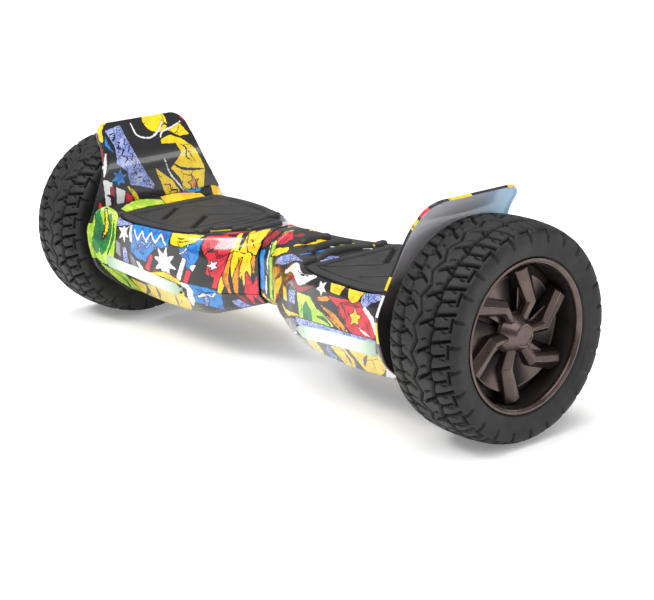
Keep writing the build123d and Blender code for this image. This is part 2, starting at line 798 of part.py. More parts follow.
with BuildPart() as hub_face:
    turned([
        (face_plate_start, outer_bearing_radius),
        (face_plate_start, face_plate_radius - press),
        (face_plate_end, face_plate_radius - press),
        (face_plate_end, hub_boss_radius),
        (outer_bearing_start + outer_bearing_width, hub_boss_radius),
        (outer_bearing_start + outer_bearing_width, outer_bearing_radius),
    ])
    spoke_plane = Plane(
        origin=(half_track + face_plate_end, 0, axle_z), x_dir=(0, 1, 0), z_dir=(1, 0, 0)
    )
    with BuildSketch(spoke_plane):
        with PolarLocations(0, spoke_count):
            Polygon((18, -9), (34, -15), (58, -3), (57, 9), (36, -2), (20, 9), align=None)
        Circle(hub_boss_radius + loose, mode=Mode.SUBTRACT)
    extrude(amount=spoke_height)
write_both(hub_face.part, "hub_face")

with BuildPart() as hub_cap:
    base = outer_bearing_start + outer_bearing_width
    turned([
        (base, hub_boss_radius - 6),
        (base, hub_boss_radius),
        (hub_nose_face - 1, hub_nose_radius),
        (hub_nose_face, hub_nose_radius - 1),
        (hub_nose_face, 0),
        (hub_nose_face - 3, 0),
        (hub_nose_face - 3, hub_nose_radius - 3),
    ])
write_both(hub_cap.part, "hub_cap")

with BuildPart() as tyre:
    half_width = tyre_width / 2
    crown = half_width - shoulder_inset
    shoulder_drop = 0.8
    shoulder = (crown, tyre_radius - shoulder_drop)
    sidewall = (half_width, tyre_radius - shoulder_inset)
    inner_radius = tyre_radius - tread_wall
    with BuildSketch(wheel_section):
        with BuildLine():
            ThreePointArc((-shoulder[0], shoulder[1]), (0, tyre_radius), shoulder)
            bulge = (half_width - shoulder_inset * 0.27, tyre_radius - shoulder_inset * 0.33)
            ThreePointArc(shoulder, bulge, sidewall)
            Polyline(
                sidewall,
                (half_width - 3, rim_lip_radius + 3),
                (rim_lip_face, rim_lip_radius),
                (lip_inner, rim_lip_radius),
                (lip_inner, bead_seat_radius),
                (bead_toe, barrel_radius),
                (bead_toe, rim_lip_radius + 2),
                (half_width - tread_wall, rim_lip_radius + 8),
                (half_width - tread_wall, sidewall[1] + 4),
                (crown, inner_radius - 1),
            )
            ThreePointArc((crown, inner_radius - 1), (0, inner_radius), (-crown, inner_radius - 1))
            Polyline(
                (-crown, inner_radius - 1),
                (tread_wall - half_width, sidewall[1] + 4),
                (tread_wall - half_width, rim_lip_radius + 8),
                (-bead_toe, rim_lip_radius + 2),
                (-bead_toe, barrel_radius),
                (-lip_inner, bead_seat_radius),
                (-lip_inner, rim_lip_radius),
                (-rim_lip_face, rim_lip_radius),
                (3 - half_width, rim_lip_radius + 3),
                (-sidewall[0], sidewall[1]),
            )
            ThreePointArc((-sidewall[0], sidewall[1]), (-bulge[0], bulge[1]), (-shoulder[0], shoulder[1]))
        make_face()
    revolve(axis=axle_line)
write_both(tyre.part, "tyre")

# ---- centre joint: shaft, bushes, circlip, collar and the cable bundle through it ----
circlip_x = -(bulkhead_x + bulkhead_wall + free * 2 + circlip_wall)
with BuildPart() as centre_shaft:
    cylinder_along("X", (-shaft_end, 0, axle_z), shaft_radius, shaft_end * 2)
    cylinder_along("X", (-shaft_end, 0, axle_z), shaft_bore_radius, shaft_end * 2, Mode.SUBTRACT)
    with BuildSketch(Plane.YZ.offset(circlip_x)):
        with Locations((0, axle_z)):
            Circle(shaft_radius + 1)
            Circle(shaft_radius - circlip_groove, mode=Mode.SUBTRACT)
    extrude(amount=circlip_wall, mode=Mode.SUBTRACT)
write(centre_shaft.part, "centre_shaft")

with BuildPart() as shaft_circlip:
    with BuildSketch(Plane.YZ.offset(circlip_x)):
        with Locations((0, axle_z)):
            Circle(shaft_radius + circlip_reach)
            Circle(shaft_radius - circlip_groove, mode=Mode.SUBTRACT)
        with Locations((0, axle_z - shaft_radius)):
            Rectangle(shaft_radius * 0.8, shaft_radius, mode=Mode.SUBTRACT)
    extrude(amount=circlip_wall)
write(shaft_circlip.part, "shaft_circlip")

with BuildPart() as shaft_bushes:
    for start in (-tube_start - bush_length, -bulkhead_x - bulkhead_wall):
        with BuildSketch(Plane.YZ.offset(start)):
            with Locations((0, axle_z)):
                Circle(shaft_radius + bush_wall)
                Circle(shaft_radius + running, mode=Mode.SUBTRACT)
        extrude(amount=bush_length)
write(shaft_bushes.part, "shaft_bushes")

with BuildPart() as centre_collar:
    reach = middle_start - collar_gap
    for wall, mode in ((0.5, Mode.ADD), (0.5 + collar_wall, Mode.SUBTRACT)):
        with BuildSketch(Plane.YZ.offset(-reach)):
            with BuildLine():
                Polyline(*outline_at(middle_start, wall), close=True)
            make_face()
        extrude(amount=reach * 2, mode=mode)
    with BuildSketch(Plane.YZ.offset(-collar_wall / 2)):
        with BuildLine():
            Polyline(*outline_at(middle_start, collar_wall / 2), close=True)
        make_face()
    extrude(amount=collar_wall)
    cylinder_along("X", (-reach, 0, axle_z), shaft_radius + press, reach * 2, Mode.SUBTRACT)
write(centre_collar.part, "centre_collar")

with BuildPart() as shaft_harness:
    cylinder_along("X", (-shaft_end, 0, axle_z), harness_radius, shaft_end * 2)
    for start in (-shaft_end, shaft_end - grommet_length):
        cylinder_along("X", (start, 0, axle_z), shaft_bore_radius - press, grommet_length)
write(shaft_harness.part, "shaft_harness")

# ---- boards with the balance sensors, one hung under each deck ----
with BuildPart() as gyro_board:
    low_z = axle_z + gyro_height
    low = (gyro_x - gyro_length / 2, -gyro_width / 2, low_z)
    box_between(low, (gyro_x + gyro_length / 2, gyro_width / 2, low_z + board_wall))
    for x, y, size in ((gyro_x, 0, 9), (gyro_x + 18, 12, 6), (gyro_x - 18, -14, 6)):
        low = (x - size / 2, y - size / 2, low_z + board_wall)
        box_between(low, (x + size / 2, y + size / 2, low[2] + 2))
write_both(gyro_board.part, "gyro_board")

with BuildPart() as foot_sensors:
    for side in (-1, 1):
        y = side * plunger_y
        low = (gyro_x - sensor_width / 2, y - sensor_depth / 2, axle_z + gyro_height + board_wall)
        high = (gyro_x + sensor_width / 2, y + sensor_depth / 2, low[2] + sensor_height)
        box_between(low, high)
        low = (low[0] - 1, y - sensor_slot / 2, low[2] + sensor_height * 0.3)
        high = (high[0] + 1, y + sensor_slot / 2, high[2] + 1)
        box_between(low, high, Mode.SUBTRACT)
write_both(foot_sensors.part, "foot_sensors")

# ---- battery in the left half ----
with BuildPart() as battery_pack:
    bottom = tray_z + tray_wall + rail_height
    low = (-battery_start - battery_length, -battery_width / 2, bottom)
    box_between(low, (-battery_start, battery_width / 2, bottom + battery_thickness))
    fillet(battery_pack.edges().filter_by(Axis.X), radius=9)
write(battery_pack.part, "battery_pack")

# ---- main board in the right half ----
with BuildPart() as main_board:
    bottom = tray_z + tray_wall + post_height
    half = main_board_width / 2
    low = (battery_start, -half, bottom)
    box_between(low, (battery_start + main_board_length, half, bottom + board_wall))
    top = bottom + board_wall
    middle = battery_start + main_board_length / 2
    box_between((middle - 30, -half + 4, top), (middle + 30, -half + 10, top + 20))
    for number in range(7):
        x = middle - 29 + number * 9
        box_between((x, -half + 10, top), (x + 3, -half + 18, top + 20))
    for number in range(2):
        place = (middle - 14 + number * 28, half - 14, top)
        cylinder_along("Z", place, capacitor_radius, capacitor_height)
    box_between((middle - 7, -7, top), (middle + 7, 7, top + 2))
    box_between((middle + 22, 0, top), (middle + 36, 16, top + 9))
write(main_board.part, "main_board")

# ---- power button and its switch ----
with BuildPart() as power_button:
    start = (button_x, button_face + button_stand - button_travel * 4, port_z)
    cylinder_along("Y", start, button_radius, button_travel * 4)
    fillet(power_button.edges().group_by(Axis.Y)[-1], radius=1)
write(power_button.part, "power_button")

with BuildPart() as power_switch:
    back = button_face + button_stand - button_travel * 5 - free
    start = (button_x, back - button_travel * 4, port_z)
    cylinder_along("Y", start, button_radius + loose, button_travel * 4)
write(power_switch.part, "power_switch")

# ---- charging socket and its rubber cap ----
with BuildPart() as charge_socket:
    cylinder_along("Y", (port_x, port_face - port_depth, port_z), port_radius, port_depth)
    start = (port_x, port_face - port_bore_depth, port_z)
    cylinder_along("Y", start, port_bore_radius, port_bore_depth, Mode.SUBTRACT)
    start = (port_x, port_face - port_bore_depth - contact_length, port_z)
    cylinder_along("Y", start, port_bore_radius - contact_radius, contact_length, Mode.SUBTRACT)
    with PolarLocations(contact_radius * 3, 3, start_angle=90) as contacts:
        contact_places = [(at.position.X, at.position.Y) for at in contacts.local_locations]
    for x, z in contact_places:
        place = (port_x + x, start[1], port_z + z)
        cylinder_along("Y", place, contact_radius, contact_length - free)
write(charge_socket.part, "charge_socket")

with BuildPart() as charge_cap:
    back = port_face + free
    cylinder_along("Y", (port_x, back, port_z), cap_radius, cap_wall)
    low = (port_x - strap_half_width, back, port_z)
    box_between(low, (port_x + strap_half_width, back + cap_wall, hinge_z))
    low = (port_x - strap_half_width, hinge_y, hinge_z)
    cylinder_along("X", low, hinge_pin_radius + hinge_wall, strap_half_width * 2)
    pin_reach = strap_half_width + free + lug_width
    cylinder_along("X", (port_x - pin_reach, hinge_y, hinge_z), hinge_pin_radius, pin_reach * 2)
write(charge_cap.part, "charge_cap")
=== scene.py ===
import json
import math

import bmesh
import bpy
import numpy as np
from mathutils import Matrix, Vector


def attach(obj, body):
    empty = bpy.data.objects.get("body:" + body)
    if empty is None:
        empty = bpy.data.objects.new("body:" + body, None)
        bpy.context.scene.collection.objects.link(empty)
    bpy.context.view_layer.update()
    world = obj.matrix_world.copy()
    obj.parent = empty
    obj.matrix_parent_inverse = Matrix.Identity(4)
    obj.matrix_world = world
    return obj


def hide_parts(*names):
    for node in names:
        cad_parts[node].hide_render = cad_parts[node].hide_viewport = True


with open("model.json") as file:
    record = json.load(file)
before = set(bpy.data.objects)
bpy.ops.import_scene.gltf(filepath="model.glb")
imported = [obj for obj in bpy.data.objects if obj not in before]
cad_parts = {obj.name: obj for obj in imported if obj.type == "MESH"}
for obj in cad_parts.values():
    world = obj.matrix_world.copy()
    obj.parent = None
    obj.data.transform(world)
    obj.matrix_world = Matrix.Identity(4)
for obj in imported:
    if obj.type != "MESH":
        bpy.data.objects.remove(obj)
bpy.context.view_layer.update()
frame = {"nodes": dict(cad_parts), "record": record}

# ---- sizes, in millimetres ----
AXLE_Z = 108.0
TYRE_RADIUS = 108.0
HALF_TRACK = 310.5
BODY_START = 12.0
BODY_END = 246.0
LAMP_START = 99.0
LAMP_END = 228.0
WALL = 3.0
# places along the body, and at each one the half depth and the height over the axle of the
# deck's edge, the shoulder, the lamp's upper edge, the lamp's lower edge and the belly's edge
STATIONS = np.array([12.0, 62.0, 95.0, 163.5, 232.0, 246.0])
CORNERS = np.array(
    [
        [(12, 43), (30, 33), (36, 16), (36, -26), (26, -37.5)],
        [(45, 34.5), (60, 14), (64.5, -20), (63.5, -28), (45, -54)],
        [(64, 32), (72, 20), (75.5, -27), (74, -36.5), (46, -63.5)],
        [(76, 32), (81, 22), (82, -21), (80.5, -31), (46, -68)],
        [(70, 32), (76, 22), (85.5, -15), (84, -26), (46, -65.5)],
        [(78, 39), (87, 36), (97, 9), (88, -25), (47, -66)],
    ],
    float,
)
CORNER_ROUNDING = (8.0, 7.0, 4.0, 2.5, 10.0)
PAD_START = 98.0
PAD_END = 226.0
PAD_CORNER = 8.0
PAD_TOP = 141.5
PAD_BOTTOM = 137.3
RECESS = 4.5
RIBS = ((37.0, 7.0, 20.0), (58.5, 9.0, 29.0), (78.0, 13.0, 38.0))
RIB_WIDTH = 9.6
RIB_HEIGHT = 4.6
STUB = (80.0, 49.0, 15.0)
BUTTON = (150.0, 107.0)
PORT = (195.0, 107.0)
TREAD_REPEATS = 26
TREAD_DEPTH = 4.2

SIDES = (("right", 1.0), ("left", -1.0))


# ---- small helpers ----
def ease(a, b, x):
    """Smooth step: 0 below a, 1 above b, t*t*(3-2t) between."""
    t = np.clip((x - a) / (b - a), 0.0, 1.0)
    return t * t * (3.0 - 2.0 * t)


def through(xs, ys, x):
    """Curve through the points (xs, ys): cubic Hermite whose slopes never overshoot."""
    h = np.diff(xs)
    d = np.diff(ys) / h
    m = np.empty(len(xs))
    m[0], m[-1] = d[0], d[-1]
    a = 2 * h[1:] + h[:-1]
    b = h[1:] + 2 * h[:-1]
    same = d[:-1] * d[1:] > 0
    safe0 = np.where(same, d[:-1], 1.0)
    safe1 = np.where(same, d[1:], 1.0)
    m[1:-1] = np.where(same, (a + b) / (a / safe0 + b / safe1), 0.0)
    i = np.clip(np.searchsorted(xs, x) - 1, 0, len(h) - 1)
    t = (x - xs[i]) / h[i]
    return (
        (2 * t**3 - 3 * t**2 + 1) * ys[i]
        + (t**3 - 2 * t**2 + t) * h[i] * m[i]
        + (3 * t**2 - 2 * t**3) * ys[i + 1]
        + (t**3 - t**2) * h[i] * m[i + 1]
    )


def grid_faces(rows, cols, wrap_rows=False, wrap_cols=False):
    """Quads of a rows x cols grid of points numbered row by row."""
    i = np.arange(rows if wrap_rows else rows - 1)
    j = np.arange(cols if wrap_cols else cols - 1)
    i, j = np.meshgrid(i, j, indexing="ij")
    i2, j2 = (i + 1) % rows, (j + 1) % cols
    quads = (i * cols + j, i * cols + j2, i2 * cols + j2, i2 * cols + j)
    return np.stack(quads, -1).reshape(-1, 4)


def new_piece(name, points, faces, material, body, nodes=(), sharp=35.0, fields=None):
    """Mesh piece from points in millimetres and lists of faces, with per-point fields."""
    mesh = bpy.data.meshes.new(name)
    points = np.asarray(points, float).reshape(-1, 3) * 0.001
    if isinstance(faces, np.ndarray):
        sizes = np.full(len(faces), faces.shape[1])
        loops = faces.reshape(-1)
    else:
        sizes = np.array([len(f) for f in faces])
        loops = np.array([v for f in faces for v in f])
    mesh.vertices.add(len(points))
    mesh.vertices.foreach_set("co", points.reshape(-1).astype(np.float32))
    mesh.loops.add(len(loops))
    mesh.loops.foreach_set("vertex_index", loops.astype(np.int32))
    mesh.polygons.add(len(sizes))
    starts = np.concatenate([[0], np.cumsum(sizes)[:-1]])
    mesh.polygons.foreach_set("loop_start", starts.astype(np.int32))
    mesh.update(calc_edges=True)
    mesh.validate()
    for key, value in (fields or {}).items():
        value = np.asarray(value, np.float32)
        kind = "FLOAT" if value.size == len(points) else "FLOAT_VECTOR"
        attribute = mesh.attributes.new(key, kind, "POINT")
        attribute.data.foreach_set("value" if kind == "FLOAT" else "vector", value.reshape(-1))
    mesh.shade_smooth()
    if sharp:
        mesh.set_sharp_from_angle(angle=math.radians(sharp))
    mesh.materials.append(material)
    piece = bpy.data.objects.new(name, mesh)
    bpy.context.scene.collection.objects.link(piece)
    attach(piece, body)
    if nodes:
        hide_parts(*nodes)
    return piece


def used_only(points, faces, fields=None):
    """Drops the points that no face uses."""
    keep = np.unique(faces)
    renumber = np.full(len(points), -1)
    renumber[keep] = np.arange(len(keep))
    kept = {k: np.asarray(v)[keep] for k, v in (fields or {}).items()}
    return points[keep], renumber[faces], kept


def face_along(points, faces, wanted):
    """Reverses the faces where their normals, summed up, go against the wanted directions."""
    a, b, c = (points[faces[:, i]] for i in range(3))
    return faces[:, ::-1] if (np.cross(b - a, c - a) * wanted).sum() < 0 else faces


def from_axle(points, faces):
    """Each face's direction away from the axle line."""
    away = points[faces].mean(1) - [0.0, 0.0, AXLE_Z]
    away[:, 0] = 0.0
    return away


def face_outward(piece, hole_sides=0):
    """Turns a closed piece's faces outward, first filling holes of up to hole_sides edges."""
    work = bmesh.new()
    work.from_mesh(piece.data)
    if hole_sides:
        bmesh.ops.holes_fill(work, edges=work.edges, sides=hole_sides)
    bmesh.ops.recalc_face_normals(work, faces=work.faces)
    work.to_mesh(piece.data)
    work.free()


def thick(piece, thickness):
    """Gives an open surface its wall, on the inner side."""
    wall = piece.modifiers.new("wall", "SOLIDIFY")
    wall.thickness = thickness * 0.001
    wall.offset = -1.0
    wall.use_quality_normals = True
    return wall


def run_length(line):
    """Distance along a polyline at each of its points."""
    return np.concatenate([[0], np.cumsum(np.linalg.norm(np.diff(line, axis=0), axis=1))])


def soften(piece, width):
    """Rounds a low-count piece's edges."""
    bevel = piece.modifiers.new("edges", "BEVEL")
    bevel.width = width * 0.001
    bevel.segments = 2
    bevel.limit_method = "ANGLE"
    bevel.angle_limit = math.radians(30.0)
    bevel.harden_normals = False


def revolve(profile, around):
    """Surface of revolution about X: profile rows are (x, radius), points (x, r cos a, r sin a)."""
    a = np.arange(around) / around * 2 * np.pi
    x = np.repeat(profile[:, :1], around, 1)
    y = profile[:, 1:] * np.cos(a)
    z = profile[:, 1:] * np.sin(a) + AXLE_Z
    return np.stack([x, y, z], -1).reshape(-1, 3)


def rounded_path(points, radius=1.0, steps=3, closed=True):
    """Replaces each corner of a polyline by a short parabola: C - (1-t)^2 d u + t^2 d v."""
    p = np.asarray(points, float)
    out = []
    n = len(p)
    for k in range(n):
        if not closed and k in (0, n - 1):
            out.append(p[k])
            continue
        u, v = p[k] - p[k - 1], p[(k + 1) % n] - p[k]
        lu, lv = np.linalg.norm(u), np.linalg.norm(v)
        d = min(radius, 0.45 * lu, 0.45 * lv)
        for t in np.linspace(0, 1, steps + 1):
            out.append(p[k] - (1 - t) ** 2 * d * u / lu + t**2 * d * v / lv)
    return np.array(out)


# ---- shapes of the printed artwork: signed distances in millimetres, positive inside ----
def smooth_line(points, steps=7):
    """Catmull-Rom curve through a few points."""
    p = np.asarray(points, float)
    if len(p) < 3:
        return p
    q = np.vstack([2 * p[0] - p[1], p, 2 * p[-1] - p[-2]])
    t = np.linspace(0, 1, steps, endpoint=False)[:, None]
    out = []
    for a, b, c, d in zip(q, q[1:], q[2:], q[3:]):
        square, cube = 2 * a - 5 * b + 4 * c - d, 3 * b - a - 3 * c + d
        out.append(0.5 * (2 * b + (c - a) * t + square * t**2 + cube * t**3))
    return np.vstack(out + [p[-1:]])


def blade(u, v, points, widths):
    """Tapered stroke: half width along a smooth line, less the distance to the line."""
    line = smooth_line(points)
    s = np.linspace(0, 1, len(line))
    half = np.interp(s, np.linspace(0, 1, len(widths)), widths)
    best = np.full(u.shape, -1e3)
    for (a, b), wa, wb in zip(zip(line, line[1:]), half, half[1:]):
        e = b - a
        t = np.clip(((u - a[0]) * e[0] + (v - a[1]) * e[1]) / max(e @ e, 1e-9), 0, 1)
        best = np.maximum(best, wa + (wb - wa) * t - np.hypot(u - a[0] - t * e[0], v - a[1] - t * e[1]))
    return best


def patch(u, v, points):
    """Signed distance to a polygon, positive inside."""
    p = np.asarray(points, float)
    dist = np.full(u.shape, 1e3)
    inside = np.zeros(u.shape, bool)
    for a, b in zip(p, np.roll(p, -1, 0)):
        e = b - a
        t = np.clip(((u - a[0]) * e[0] + (v - a[1]) * e[1]) / max(e @ e, 1e-9), 0, 1)
        dist = np.minimum(dist, np.hypot(u - a[0] - t * e[0], v - a[1] - t * e[1]))
        if a[1] != b[1]:
            crossing = (a[1] > v) != (b[1] > v)
            inside ^= crossing & (u < e[0] * (v - a[1]) / e[1] + a[0])
    return np.where(inside, dist, -dist)


def disc(u, v, centre, radius):
    """Signed distance to a circle, positive inside."""
    return radius - np.hypot(u - centre[0], v - centre[1])


def star(u, v, centre, outer, inner, tips, turn=0.0):
    """Signed distance to a star whose corners alternate between two radii."""
    a = turn + np.arange(2 * tips) * math.pi / tips
    r = np.where(np.arange(2 * tips) % 2, inner, outer)
    return patch(u, v, np.stack([centre[0] + r * np.cos(a), centre[1] + r * np.sin(a)], -1))


def zigzag(u, v, start, end, swing, bends, width):
    """Band of straight strokes that swings from side to side of the line start-end."""
    line = np.linspace(start, end, bends + 1)
    along = (np.asarray(end, float) - start) / math.dist(start, end)
    line += swing * np.where(np.arange(bends + 1) % 2, 1.0, -1.0)[:, None] * (-along[1], along[0])
    return np.max([blade(u, v, line[k : k + 2], (width, width)) for k in range(bends)], axis=0)


PAINTS = (
    "grey", "lime", "green", "blue", "yellow", "orange", "red", "white", "maroon", "lavender",
    "gold", "pearl", "ink",
)
P, B, C, S, Z = patch, blade, disc, star, zigzag
